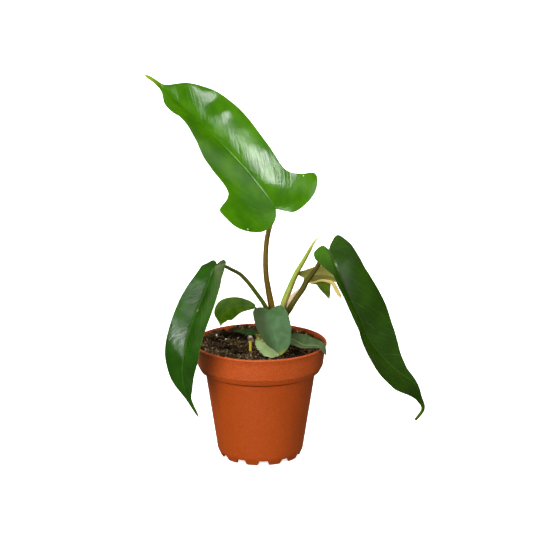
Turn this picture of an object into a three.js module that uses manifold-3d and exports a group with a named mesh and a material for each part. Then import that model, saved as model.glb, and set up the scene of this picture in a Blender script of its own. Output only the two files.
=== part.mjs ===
// A young philodendron in a round nursery pot, in millimetres, +Z up.
// The origin is the centre of the pot's foot, and -Y is the side that the front faces.
// The pot holds soil, a short crown stands in the soil, and every leaf is a thin blade
// on its own stalk. A blade is worked out from its midrib, which way its face looks,
// and the flat outline of each half, so its lobes, folds and drip tip are real shapes.

import * as THREE from 'three';
import { mergeVertices } from 'three/addons/utils/BufferGeometryUtils.js';
import Module from 'manifold-3d';

const wasm = await Module();
wasm.setup();

// ---------- driving dimensions ----------

const CLEARANCE = 0.3;            // gap between pieces that touch on the real plant

const POT_HEIGHT = 92;
const RIM_RADIUS = 52.5;
const WALL = 1.3;
const COLLAR_LOW = 70;            // height of the step under the thick collar
const COLLAR_RADIUS = 47.3;       // collar radius at that step
const CHAMFER_TOP = 74;           // the collar widens quickly up to here, then slowly
const CHAMFER_RADIUS = 49.2;
const BODY_RADIUS = 43.4;         // body radius just under the collar
const FOOT_RADIUS = 34;           // body radius where the foot turns in
const FOOT_HEIGHT = 6;
const BASE_RADIUS = 31.5;         // ring that the pot stands on
const FLOOR_HEIGHT = 4;           // underside of the raised floor
const CENTRE_FOOT_RADIUS = 12;    // pressed-down disc in the middle of the floor
const STANDING_RING_WIDTH = 1.6;
const NOTCH_COUNT = 11;
const NOTCH_FOOT = 9;             // width of a notch at the ground
const NOTCH_TOP = 6.4;            // and at its top
const NOTCH_HEIGHT = 3.8;
const NOTCH_REACH = 12;           // length of the cut along the radius
const NOTCH_TURN = -85.2;         // degrees, the notch beside the front
const DRAIN_COUNT = 6;
const DRAIN_RADIUS = 4;
const DRAIN_CIRCLE = 21.5;
const DRAIN_SIDES = 16;
const POT_SEGMENTS = 48;

const SOIL_LEVEL = 86.5;
const SOIL_WAVE = 0.96;           // height of the uneven top's waves
const SOIL_DIP = { x: 12, y: -26, depth: 1.6, reach: 10.5 };   // hollow in front
const SOIL_GAP = 0.6;             // between the soil and the pot's wall
const SOIL_RINGS = 7;
const SOIL_SECTORS = 32;
const SOIL_FOOT_INSET = 2.4;      // from the pot's standing ring to the soil's lower edge

const CROWN = { x: 12.8, y: 0.8, foot: 80, top: 98, radius: 8.8 };
const CROWN_SHAPE = { foot: 0.6, waist: 0.78, waistRise: 7, shoulder: 5 };
const CROWN_SEGMENTS = 20;
const STALK_FOOT = CROWN.top - 1;   // trimmed again where the crown's top is

const BLADE_THICKNESS = 0.7;
const RIB_DEPTH = 0.8;            // how far the midrib stands out under a large blade
const SMALL_RIB_DEPTH = 0.35;
const VEIN_LEAN = 0.85;           // a row starts on the midrib past this share of its reach
const FOLD_WIDTH = 2.5;           // distance from the midrib over which the blade's edge turns
const COLUMNS = [0, 0.12, 0.36, 0.68, 1];
const SMALL_COLUMNS = [0, 0.15, 0.55, 1];

// ---------- leaves ----------
// midrib: points from the stalk to the drip tip. facing: which way the upper face looks.
// left and right: outline of each half, as distance along the midrib and distance out,
// from the notch at the stalk round the lobe to the tip, seen with the tip away. A half
// with no lobe behind the notch starts a little way out.
// fold: degrees that a half rises from the midrib. curl: degrees that it turns down again
// over each 10 mm of its width. Both may be pairs of a share of the length and a value.

const LEAVES = {
  leaf_top: {
    midrib: [[11.5, -2, 199], [-2, 5, 216], [-17, 13, 233], [-46, 27, 260], [-76, 40, 286],
      [-91.5, 46, 296.5]],
    facing: [[0.45, -1, 0.5], [0.45, -1, 0.5], [0.4, -1, 0.55], [0.35, -1, 0.6]],
    foldLeft: [[0, 22], [0.17, 24], [0.33, 30], [0.5, 40], [0.67, 46], [0.83, 32], [1, 12]],
    foldRight: [[0, 12], [0.33, 14], [1, 10]],
    curlLeft: [[0, 2], [0.33, 4], [1, 3]],
    curlRight: [[0, 2], [0.33, 5], [1, 3]],
    left: [[0, 0], [-6, 5], [-11, 15], [-11, 28], [-5, 39], [2, 45], [11, 47.5], [19, 48], [22, 43],
      [25, 34], [31, 30], [50, 30.5], [63, 30], [78, 25], [94, 20.5], [107, 20.5], [118, 15.5],
      [128.5, 5], [138, 1.2], [150, 0]],
    right: [[0, 0], [-6, 5], [-11, 12], [-10, 26], [-6, 36], [1, 43], [7, 43], [12, 33], [22, 25.5],
      [45, 28], [71, 31.5], [88, 31], [102, 28], [120, 17], [131, 4], [138, 1.2], [150, 0]],
  },
  leaf_left: {
    midrib: [[-33, -23, 160.3], [-35.5, -31, 157.5], [-39.5, -37, 147.5], [-45, -41, 134.5],
      [-50.5, -44.5, 121], [-54.8, -46.5, 108], [-57.8, -47, 94.5], [-59, -46.5, 83],
      [-58.5, -45.5, 72.5], [-56, -44, 62], [-52.5, -43, 54], [-47, -41.5, 42.5]],
    facing: [[-0.25, -0.3, 0.95], [-0.5, -0.75, 0.5], [-0.55, -0.85, 0.25], [-0.5, -0.85, 0.2],
      [-0.45, -0.9, 0.1]],
    foldLeft: [[0, 14], [0.12, 30], [0.5, 32], [0.8, 20], [1, 10]],
    foldRight: [[0, 16], [0.15, 32], [0.6, 30], [1, 12]],
    curlLeft: [[0, 5], [0.5, 7], [1, 3]],
    curlRight: [[0, 5], [0.5, 6], [1, 3]],
    left: [[0, 0], [-4, 3], [-2, 6.5], [6, 11], [15, 17], [27, 20.5], [50, 20.5], [73, 20.5],
      [88, 16.5], [101, 11], [110, 6], [116, 2.5], [122, 1.2], [133, 0]],
    right: [[0, 0], [-4, 3], [-3, 5.5], [4, 9], [16, 11.5], [29, 14.5], [43, 16], [67, 16],
      [79, 15], [89, 12.5], [98, 9.5], [106, 5.7], [114, 2.2], [121, 1.2], [133, 0]],
  },
  leaf_right: {
    midrib: [[53.2, -2, 166.5], [58, -12, 156], [66.5, -19, 138], [76, -23, 118],
      [84.5, -24.5, 99.5], [96, -24.5, 84.5], [108, -22, 73], [117, -19, 66],
      [122.5, -17, 59], [126, -16, 50], [129, -15, 41], [122, -17, 32.3]],
    facing: [[0.2, -0.6, 0.8], [0.5, -0.8, 0.4], [0.55, -0.8, 0.3], [0.5, -0.85, 0.3],
      [0.3, -0.8, 0.5], [0.45, -0.85, 0.3], [0.5, -0.85, 0.2]],
    foldLeft: [[0, 10], [0.3, 6], [0.7, 8], [1, 6]],
    foldRight: [[0, 10], [0.06, 20], [0.14, 45], [0.4, 48], [0.55, 40], [0.7, 24], [0.85, 14],
      [1, 6]],
    curlLeft: [[0, 4], [0.5, 5], [1, 3]],
    curlRight: [[0, 6], [0.5, 5], [1, 3]],
    left: [[0, 0], [-5, 3.5], [-11, 11], [-4, 17], [8, 21.4], [27, 24.4], [43, 27], [57, 28],
      [70, 26.5], [86, 23], [100, 17], [115, 9], [126, 4.2], [137, 2], [150, 1.2], [172, 0]],
    right: [[0, 0], [-4, 4], [0, 12], [8, 17], [13, 17.5], [20, 15.5], [30, 16.5], [45, 17.5],
      [60, 18.5], [80, 17.5], [95, 18.5], [108, 18.5], [118, 17], [136, 10.5], [146, 4],
      [155, 1.3], [172, 0]],
  },
  leaf_front: {
    midrib: [[7, -13, 120.6], [7.7, -18, 115.8], [9.2, -22, 108.8], [11.7, -25, 100],
      [15.5, -27.5, 88.5]],
    facing: [[0, -1, 0.5], [0, -1, 0.35], [0.05, -1, 0.3], [0.05, -1, 0.2]],
    foldLeft: [[0, 12], [1, 6]],
    foldRight: [[0, 12], [1, 6]],
    curlLeft: 6,
    curlRight: 6,
    left: [[0, 0], [-3, 8], [1, 12.3], [8, 14.5], [18, 14.5], [29, 11], [34, 7], [37.6, 0]],
    right: [[0, 0], [-3, 6], [-1.5, 11.5], [3, 13], [14, 11.5], [25, 8], [32, 3], [37.6, 0]],
  },
  leaf_small_left: {
    midrib: [[-4, 9.5, 117.3], [-10.5, 11.5, 118], [-17.5, 14, 117], [-24.5, 16, 113.5],
      [-29.5, 17.5, 108], [-31.5, 18.5, 98.5]],
    facing: [[-0.2, -0.8, 0.7], [-0.25, -0.9, 0.6], [-0.4, -0.95, 0.3], [-0.5, -0.9, 0.2]],
    foldLeft: 10,
    foldRight: 12,
    curlLeft: 7,
    curlRight: 7,
    left: [[0, 0.9], [0.4, 1.8], [3, 3.6], [9, 6], [16, 8], [25, 8.8], [33, 5], [37, 1.3], [40, 0]],
    right: [[0, 0.9], [0.4, 1.8], [4, 3.5], [10, 5.5], [17, 8], [25, 10], [31, 8], [36, 3], [40, 0]],
  },
  leaf_rear: {
    midrib: [[34.5, 14, 139.7], [40.5, 17, 141], [48.5, 20, 141.2], [58, 22, 138.5], [67, 22, 133.5]],
    facing: [[0, 0.95, 0.3], [0, 0.95, 0.3], [0.2, 0.9, 0.3]],
    foldLeft: 6,
    foldRight: 6,
    curlLeft: 6,
    curlRight: 6,
    left: [[0, 0.9], [0.8, 2.4], [4, 6.2], [12, 8], [24, 6], [36, 0]],
    right: [[0, 0], [-3.2, 2.6], [-6, 5.8], [-3.5, 7], [3, 6.6], [10, 7.5], [18, 8], [26, 6], [36, 0]],
  },
  leaf_rear_low: {
    midrib: [[34.6, 26, 134], [40.2, 28, 135.7], [46.7, 29.5, 135.3], [51.8, 29, 130.8],
      [54.3, 28, 124.8], [55.1, 27, 118.6]],
    facing: [[0.1, -0.6, 0.9], [0.2, -0.8, 0.7], [0.3, -0.95, 0.3], [0.2, -1, 0.1]],
    foldLeft: 10,
    foldRight: 10,
    curlLeft: 5,
    curlRight: 5,
    left: [[0, 0.9], [0.8, 2.2], [3, 5], [12, 6], [20, 4.5], [25, 2], [29, 1], [33, 0]],
    right: [[0, 0.9], [1.2, 2.6], [5, 6], [14, 7], [22, 6.5], [29, 3.2], [33, 0]],
  },
  leaf_rim: {
    midrib: [[21, -7.4, 96.8], [25, -10, 96.6], [29.5, -14, 95.2], [34, -19, 94.2],
      [41, -23, 95.2], [47, -26, 94.8], [51.5, -28.5, 87.5]],
    facing: [[0.05, -0.45, 1], [0.1, -0.5, 1], [0.2, -0.5, 1], [0.8, -0.6, 0.6]],
    foldLeft: [[0, 15], [0.5, 25], [1, 10]],
    foldRight: 5,
    curlLeft: 4,
    curlRight: 4,
    left: [[0, 0.9], [0.3, 2.2], [2.5, 5.5], [7, 7.5], [13, 9.2], [21, 8], [28, 5.5], [34, 3.5],
      [41.5, 0]],
    right: [[0, 0.9], [0.3, 2.2], [3, 5.6], [10, 6.5], [18, 4], [28, 3.6], [35, 1.6], [41.5, 0]],
  },
  leaf_soil: {
    midrib: [[-3, 4, 97], [-9, 5.5, 97.6], [-15, 8, 97.6], [-21, 10, 97]],
    facing: [[0, -0.5, 1], [0, -0.5, 1]],
    foldLeft: 10,
    foldRight: 10,
    curlLeft: 4,
    curlRight: 4,
    left: [[0, 0.8], [0.4, 1.6], [4, 3.6], [10, 3], [19, 0]],
    right: [[0, 0.8], [0.4, 1.6], [4, 3.6], [10, 3], [19, 0]],
  },
  leaf_pale: {
    midrib: [[-3, -9, 95.5], [3, -14, 93], [9.5, -19, 90], [15.5, -22.5, 87.8]],
    facing: [[0.3, -0.6, 0.8], [0.2, -0.5, 0.9], [0.1, -0.4, 1]],
    foldLeft: -6,
    foldRight: -6,
    curlLeft: -3,
    curlRight: -3,
    left: [[0, 0.9], [0.4, 2.2], [4, 6], [12, 7], [19, 5], [25, 0]],
    right: [[0, 0.9], [0.4, 1.8], [3, 4.5], [9.5, 7.5], [16, 9], [21, 7], [25, 0]],
  },
};

// Rows of each half: how many run round the lobe from the notch, and how many to the tip.
const ROWS = {
  leaf_top: { lobe: 9, side: 24 },
  leaf_left: { lobe: 5, side: 22 },
  leaf_right: { lobe: 6, side: 26 },
};
const SMALL_ROWS = { lobe: 4, side: 10 };

// ---------- stalks ----------
// route: points from the crown up to the notch of the blade. radius: pairs of a share of
// the length and a radius. Each stalk is trimmed where it would reach the blade.

const STALKS = {
  stalk_top: {
    leaf: 'leaf_top',
    route: [[11.5, 2.5, STALK_FOOT], [11.2, 2.6, 109], [9, 3, 119], [6, 3, 135], [4.5, 3, 146],
      [4.2, 4, 160], [5.2, 4, 173], [7.5, 4, 184], [10, 2.5, 192], [11.5, -1.5, 199]],
    radius: [[0, 2.4], [0.2, 2.1], [0.6, 1.9], [1, 1.8]],
    sides: 8,
    steps: 18,
  },
  stalk_left: {
    leaf: 'leaf_left',
    route: [[10.5, -2.8, STALK_FOOT], [8.5, -3.4, 112], [5.5, -4, 118.6], [2.1, -5, 124.8],
      [-2.5, -7, 132.1], [-7.5, -9, 139.5], [-11.7, -11, 145.2], [-16.1, -13.5, 150.1],
      [-21.7, -16, 153.8], [-27, -19, 157.2], [-33, -23.4, 160.2]],
    radius: [[0, 2], [0.35, 1.5], [1, 1.2]],
    sides: 8,
    steps: 16,
  },
  stalk_right: {
    leaf: 'leaf_right',
    route: [[16.2, -1.8, STALK_FOOT], [19.4, -0.5, 111.7], [23.6, 0, 119.3], [28.3, 0, 127.1],
      [33.5, 1, 134.3], [36.2, 1, 140.1], [40.2, 2, 145.6], [45.2, 2.5, 153], [48.5, 1.8, 160],
      [53.2, -2, 166.6]],
    radius: [[0, 2.3], [0.3, 2], [0.7, 1.6], [1, 1.4]],
    sides: 8,
    steps: 16,
  },
  stalk_front: {
    leaf: 'leaf_front',
    route: [[12.8, -5.8, STALK_FOOT], [11.5, -8.2, 106], [9, -9.8, 114], [7.3, -11, 119],
      [7, -13, 120.8]],
    radius: [[0, 1.3], [1, 0.9]],
    sides: 6,
    steps: 8,
  },
  stalk_small_left: {
    leaf: 'leaf_small_left',
    behind: true,
    route: [[7, 0.8, STALK_FOOT], [4.5, 3.5, 105], [0.5, 6.8, 113], [-4, 9.5, 117.4]],
    radius: [[0, 1.3], [1, 0.9]],
    sides: 6,
    steps: 8,
  },
  stalk_rear: {
    leaf: 'leaf_rear',
    behind: true,
    route: [[12.8, 7.2, STALK_FOOT], [17.5, 8.4, 107], [23.7, 9.4, 117], [30, 11.5, 127],
      [33.5, 13, 134], [34.3, 13.8, 138.8]],
    radius: [[0, 1.3], [1, 1]],
    sides: 6,
    steps: 9,
  },
  stalk_rear_low: {
    leaf: 'leaf_rear_low',
    behind: true,
    route: [[9, 6.4, STALK_FOOT], [15, 14, 106.5], [23.8, 19.5, 114.5], [30, 23, 125],
      [33, 25.3, 130], [34.6, 26, 134.1]],
    radius: [[0, 1.2], [1, 0.9]],
    sides: 6,
    steps: 9,
  },
  stalk_rim: {
    leaf: 'leaf_rim',
    behind: true,
    route: [[18.6, -5, STALK_FOOT], [19.4, -6.4, 99.6], [21, -7.4, 96.9]],
    radius: [[0, 1.2], [1, 0.9]],
    sides: 6,
    steps: 4,
  },
  stalk_soil: {
    leaf: 'leaf_soil',
    behind: true,
    route: [[4.5, 1.5, 93.5], [1, 2.6, 95.5], [-3, 4, 97.1]],
    radius: [[0, 1], [1, 0.8]],
    sides: 6,
    steps: 4,
  },
  stalk_pale: {
    leaf: 'leaf_pale',
    behind: true,
    route: [[6.5, -3.5, 93.5], [1, -5.2, 96], [-2.6, -8.4, 96], [-3, -9, 95.5]],
    radius: [[0, 1], [1, 0.8]],
    sides: 6,
    steps: 4,
  },
};

// ---------- leafless growths ----------
// A flat one has a thickness, and its radius is half its width.

const GROWTHS = {
  new_shoot: {
    route: [[16.6, 3.6, STALK_FOOT], [16.8, 3.4, 109], [18, 3.2, 120.4], [22.9, 4, 133.3],
      [28.3, 6, 145.4], [35, 8, 156.9], [41.5, 10, 168.6], [44.3, 11, 171.8], [49, 12, 173.4]],
    radius: [[0, 2.2], [0.3, 2.1], [0.6, 1.7], [0.85, 1.1], [1, 0.35]],
    sides: 8,
    steps: 18,
  },
  sheath_beige: {
    route: [[21.8, 2.8, 116.5], [23, 2.8, 120.5], [25.6, 2.8, 126], [28.9, 2.8, 130.3],
      [31, 2.8, 133]],
    radius: [[0, 1], [0.4, 1.6], [0.8, 1.2], [1, 0.4]],
    thickness: 0.8,
    sides: 6,
    steps: 8,
  },
  sheath_yellow: {
    route: [[34.9, 12.1, 136.8], [39.3, 12, 136.4], [43.2, 11.5, 136.9], [47.8, 11.5, 138.3],
      [53.8, 11.5, 137.4], [57.2, 11.5, 135.6], [60.4, 11, 129.8], [63.8, 10.5, 123.9]],
    radius: [[0, 0.5], [0.4, 0.8], [0.7, 1.5], [0.9, 1.3], [1, 0.4]],
    thickness: 0.8,
    sides: 6,
    steps: 12,
  },
};

const STUB = { x: -7.7, y: -8, foot: 81, top: 94, radius: 1.2, taper: 0.8, segments: 10 };
const KNOB = { x: -7.7, y: -7.6, z: 96.6, radius: 2.4, swell: 0.14, depth: 0.9 };

// ---------- colours and finishes ----------

const finish = (colour, roughness) =>
  new THREE.MeshStandardMaterial({ color: colour, roughness, metalness: 0 });
const TERRACOTTA_PLASTIC = finish(0xb8501e, 0.5);
const PEAT = finish(0x2a2218, 0.95);
const BRIGHT_LEAF = finish(0x4c9006, 0.28);
const DARK_LEAF = finish(0x2c5f14, 0.32);
const DULL_LEAF = finish(0x467846, 0.45);
const PALE_LEAF = finish(0x96af73, 0.5);
const UNDERSIDE_LEAF = finish(0x6e783c, 0.5);
const BROWN_STALK = finish(0x7a5a14, 0.45);
const OLIVE_STALK = finish(0x5c5a14, 0.45);
const LIME_SHOOT = finish(0x96af32, 0.4);
const BEIGE_SHEATH = finish(0xe1cdaa, 0.7);
const YELLOW_SHEATH = finish(0xe1c364, 0.6);
const GREY_KNOB = finish(0xb4aa96, 0.9);

const LEAF_FINISH = {
  leaf_top: BRIGHT_LEAF,
  leaf_left: DARK_LEAF,
  leaf_right: DARK_LEAF,
  leaf_front: DULL_LEAF,
  leaf_small_left: BRIGHT_LEAF,
  leaf_rear: UNDERSIDE_LEAF,
  leaf_rear_low: BRIGHT_LEAF,
  leaf_rim: DULL_LEAF,
  leaf_soil: DARK_LEAF,
  leaf_pale: PALE_LEAF,
};
const STALK_FINISH = {
  stalk_top: BROWN_STALK,
  stalk_left: OLIVE_STALK,
  stalk_right: OLIVE_STALK,
};

// ---------- solids: joining and cutting ----------

function toSolid(geometry) {
  const bare = geometry.clone();
  bare.deleteAttribute('normal');
  bare.deleteAttribute('uv');
  const welded = mergeVertices(bare, 1e-4);
  const index = welded.index.array;
  const corners = [];
  for (let i = 0; i < index.length; i += 3) {
    const [a, b, c] = [index[i], index[i + 1], index[i + 2]];
    if (a !== b && b !== c && c !== a) {
      corners.push(a, b, c);
    }
  }
  return new wasm.Manifold(new wasm.Mesh({
    numProp: 3,
    vertProperties: Float32Array.from(welded.attributes.position.array),
    triVerts: Uint32Array.from(corners),
  }));
}

function toGeometry(solid) {
  const mesh = solid.getMesh();
  const geometry = new THREE.BufferGeometry();
  geometry.setAttribute('position', new THREE.BufferAttribute(mesh.vertProperties, 3));
  geometry.setIndex(new THREE.BufferAttribute(mesh.triVerts, 1));
  geometry.computeVertexNormals();
  return geometry;
}

function largest(solid) {
  const pieces = solid.decompose();
  return pieces.reduce((best, piece) => (piece.volume() > best.volume() ? piece : best));
}

// ---------- shapes ----------

const vector = (p) => new THREE.Vector3(p[0], p[1], p[2]);
const curve = (points) => new THREE.CatmullRomCurve3(points.map(vector), false, 'catmullrom', 0.5);

// A value at a share of the length: a plain number, or a straight line between pairs.
function ramp(values, share) {
  if (typeof values === 'number') {
    return values;
  }
  const next = values.findIndex(([place]) => place >= share);
  if (next < 1) {
    return values[next < 0 ? values.length - 1 : 0][1];
  }
  const [before, low] = values[next - 1];
  const [after, high] = values[next];
  return low + (high - low) * (share - before) / (after - before);
}

// A round body about the vertical, from a profile of [radius, height].
function turned(profile, segments) {
  const points = profile.map(([radius, height]) => new THREE.Vector2(radius, height));
  return new THREE.LatheGeometry(points, segments).rotateX(Math.PI / 2);
}

// Directions across a flat growth whose broad face looks to the front.
function flatFrames(path, steps) {
  const front = new THREE.Vector3(0, -1, 0);
  const frames = { normals: [], binormals: [] };
  for (let i = 0; i <= steps; i += 1) {
    const forward = path.getTangentAt(i / steps);
    const across = front.clone().cross(forward).normalize();
    frames.normals.push(across);
    frames.binormals.push(forward.clone().cross(across));
  }
  return frames;
}

// A cylinder bent along a route, with a radius that changes on the way.
function stem({ route, radius, thickness, sides, steps }) {
  const path = curve(route);
  const frames = thickness ? flatFrames(path, steps) : path.computeFrenetFrames(steps, false);
  const geometry = new THREE.CylinderGeometry(1, 1, 1, sides, steps);
  const position = geometry.attributes.position;
  for (let i = 0; i < position.count; i += 1) {
    const share = position.getY(i) + 0.5;
    const step = Math.round(share * steps);
    const wide = ramp(radius, share);
    const deep = thickness ? Math.min(thickness / 2, wide) : wide;
    const point = path.getPointAt(step / steps);
    point.addScaledVector(frames.normals[step], position.getX(i) * wide);
    point.addScaledVector(frames.binormals[step], -position.getZ(i) * deep);
    position.setXYZ(i, point.x, point.y, point.z);
  }
  return geometry;
}

// The blade's surface at a place along and out from the midrib, with its normal.
function bladeSurface(leaf, side) {
  const midrib = curve(leaf.midrib);
  const length = midrib.getLength();
  const facing = curve(leaf.facing);
  const [fold, curl, hand] = side === 'left'
    ? [leaf.foldLeft, leaf.curlLeft, -1]
    : [leaf.foldRight, leaf.curlRight, 1];
  return (along, out) => {
    const share = Math.min(Math.max(along / length, 0), 1);
    const forward = midrib.getTangentAt(share);
    const point = midrib.getPointAt(share).addScaledVector(forward, Math.min(along, 0));
    const up = facing.getPoint(share);
    up.addScaledVector(forward, -up.dot(forward)).normalize();
    const right = forward.clone().cross(up);
    const start = THREE.MathUtils.degToRad(ramp(fold, share));
    const turn = THREE.MathUtils.degToRad(ramp(curl, share)) / 10;
    const slope = start - turn * out;
    const across = (Math.sin(start) - Math.sin(slope)) / turn;
    const rise = (Math.cos(slope) - Math.cos(start)) / turn;
    point.addScaledVector(right, hand * across).addScaledVector(up, rise);
    const lean = slope * Math.min(out / FOLD_WIDTH, 1);
    const normal = up.clone().multiplyScalar(Math.cos(lean));
    normal.addScaledVector(right, -hand * Math.sin(lean));
    return { point, normal };
  };
}

// The outline of a half in two parts: round the lobe behind the notch, if it has one,
// and on to the tip.
function marginParts(outline) {
  const path = curve(outline.map(([along, out]) => [along, out, 0]));
  const samples = path.getSpacedPoints(400);
  let turnBack = 0;
  samples.forEach((p, i) => {
    turnBack = p.x < samples[turnBack].x ? i : turnBack;
  });
  const lobeEnd = samples.findIndex((p, i) => i >= turnBack && p.x >= 0);
  return { lobe: samples.slice(0, lobeEnd), tail: samples.slice(lobeEnd) };
}

const pick = (points, share) => points[Math.round((points.length - 1) * share)];
const outAt = (tail, reach) => (tail.find((p) => p.x >= reach) ?? pick(tail, 1)).y;

// The rows of a blade, from the midrib to the margin. Round a lobe they fan out from the
// notch. Then both halves start at the same places, a little behind where the rows end.
function bladeRows(leaf, rows, length) {
  const halves = { left: marginParts(leaf.left), right: marginParts(leaf.right) };
  const atNotch = { left: halves.left.tail[0].y, right: halves.right.tail[0].y };
  const side = [{ start: 0, reach: 0, outs: atNotch }];
  for (let i = 1; i < rows.side; i += 1) {
    const share = i / rows.side;
    const reach = (pick(halves.left.tail, share).x + pick(halves.right.tail, share).x) / 2;
    const outs = { left: outAt(halves.left.tail, reach), right: outAt(halves.right.tail, reach) };
    const start = Math.max(reach * VEIN_LEAN, reach - (outs.left + outs.right) / 4);
    side.push({ start, reach, outs });
  }
  side.push({ start: length, reach: length, outs: { left: 0, right: 0 } });
  return (half) => {
    const lobe = [];
    for (let i = 1; i < rows.lobe && halves[half].lobe.length > 1; i += 1) {
      const edge = pick(halves[half].lobe, i / rows.lobe);
      lobe.push({ start: 0, reach: edge.x, out: edge.y });
    }
    return [...lobe, ...side.map(({ start, reach, outs }) => ({ start, reach, out: outs[half] }))];
  };
}

// A closed blade: upper face, lower face with the midrib standing out, and the margin.
function blade(leaf, rows, columns, ribDepth) {
  const length = curve(leaf.midrib).getLength();
  const rowsOf = bladeRows(leaf, rows, length);
  const places = new Map();
  const positions = [];
  const corners = [];

  const vertex = (p) => {
    const key = [p.x, p.y, p.z].map((value) => value.toFixed(3)).join();
    if (!places.has(key)) {
      places.set(key, positions.length / 3);
      positions.push(p.x, p.y, p.z);
    }
    return places.get(key);
  };
  const triangle = (a, b, c) => {
    if (a !== b && b !== c && c !== a) {
      corners.push(a, b, c);
    }
  };
  const quad = (a, b, c, d, flipped) => {
    if (flipped) {
      triangle(a, c, b);
      triangle(a, d, c);
    } else {
      triangle(a, b, c);
      triangle(a, c, d);
    }
  };

  ['left', 'right'].forEach((side) => {
    const surface = bladeSurface(leaf, side);
    const upper = [];
    const lower = [];
    rowsOf(side).forEach((row) => {
      const topRow = [];
      const underRow = [];
      columns.forEach((share) => {
        const along = row.start + (row.reach - row.start) * share;
        const out = row.out * share;
        const { point, normal } = surface(along, out);
        const half = BLADE_THICKNESS / 2;
        const rib = out === 0 ? ribDepth * (1 - along / length) : 0;
        topRow.push(vertex(point.clone().addScaledVector(normal, half)));
        underRow.push(vertex(point.clone().addScaledVector(normal, -half - rib)));
      });
      upper.push(topRow);
      lower.push(underRow);
    });
    const mirrored = side === 'left';
    const last = columns.length - 1;
    for (let i = 0; i + 1 < upper.length; i += 1) {
      for (let j = 0; j < last; j += 1) {
        quad(upper[i][j], upper[i][j + 1], upper[i + 1][j + 1], upper[i + 1][j], mirrored);
        quad(lower[i][j], lower[i][j + 1], lower[i + 1][j + 1], lower[i + 1][j], !mirrored);
      }
      quad(upper[i][last], lower[i][last], lower[i + 1][last], upper[i + 1][last], mirrored);
    }
    for (let j = 0; j < last; j += 1) {
      quad(upper[0][j + 1], upper[0][j], lower[0][j], lower[0][j + 1], mirrored);
    }
  });

  const geometry = new THREE.BufferGeometry();
  geometry.setAttribute('position', new THREE.Float32BufferAttribute(positions, 3));
  geometry.setIndex(corners);
  geometry.computeVertexNormals();
  return geometry;
}

function leafBlade(name) {
  if (name in ROWS) {
    return blade(LEAVES[name], ROWS[name], COLUMNS, RIB_DEPTH);
  }
  return blade(LEAVES[name], SMALL_ROWS, SMALL_COLUMNS, SMALL_RIB_DEPTH);
}

// The planes that a stalk may end on, a clearance away from its blade at the notch:
// under the midrib, or behind the blade for a stalk that runs on in line with it.
function seatUnder(leaf) {
  const { point, normal } = bladeSurface(leaf, 'right')(0, 0);
  const away = normal.clone().negate();
  return { away, offset: away.dot(point) + BLADE_THICKNESS / 2 + RIB_DEPTH + CLEARANCE };
}

function seatBehind(leaf) {
  const away = curve(leaf.midrib).getTangentAt(0).negate();
  return { away, offset: away.dot(vector(leaf.midrib[0])) + CLEARANCE };
}

// ---------- pot and soil ----------

const potOutside = [
  [BASE_RADIUS, 0], [BASE_RADIUS + 0.8, 2.2], [FOOT_RADIUS - 0.6, 4.2], [FOOT_RADIUS, FOOT_HEIGHT],
  [BODY_RADIUS - 0.3, COLLAR_LOW - 4], [BODY_RADIUS, COLLAR_LOW - 2], [COLLAR_RADIUS, COLLAR_LOW],
  [CHAMFER_RADIUS, CHAMFER_TOP], [RIM_RADIUS - 1.4, POT_HEIGHT - 5],
  [RIM_RADIUS - 0.6, POT_HEIGHT - 2.2],
  [RIM_RADIUS, POT_HEIGHT - 1.2], [RIM_RADIUS - 0.4, POT_HEIGHT],
];
const potInside = [
  [RIM_RADIUS - WALL, POT_HEIGHT], [RIM_RADIUS - WALL - 0.6, POT_HEIGHT - 2],
  [CHAMFER_RADIUS - WALL, CHAMFER_TOP], [COLLAR_RADIUS - WALL - 0.4, COLLAR_LOW],
  [BODY_RADIUS - WALL - 0.1, COLLAR_LOW - 3], [FOOT_RADIUS - WALL, FOOT_HEIGHT + 1],
];
const FLOOR_TOP = FLOOR_HEIGHT + WALL;

// Radius of the pot's inside at a height, straight between the points of its profile.
function insideRadius(height) {
  return ramp(potInside.map(([radius, level]) => [level, radius]).reverse(), height);
}

// A notch in the foot: a wedge along the radius that narrows upwards. It starts as far
// below the ground as it rises above, so it also cuts the standing ring clean through.
function notch() {
  const lean = (NOTCH_FOOT - NOTCH_TOP) / 2;
  const wedge = new THREE.Shape([
    new THREE.Vector2(-NOTCH_FOOT / 2 - lean, -NOTCH_HEIGHT),
    new THREE.Vector2(NOTCH_FOOT / 2 + lean, -NOTCH_HEIGHT),
    new THREE.Vector2(NOTCH_TOP / 2, NOTCH_HEIGHT),
    new THREE.Vector2(-NOTCH_TOP / 2, NOTCH_HEIGHT),
  ]);
  const cut = new THREE.ExtrudeGeometry(wedge, { depth: NOTCH_REACH, bevelEnabled: false });
  cut.translate(0, 0, BASE_RADIUS - NOTCH_REACH / 2);
  return cut.rotateX(Math.PI / 2).rotateZ(Math.PI / 2);
}

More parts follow.
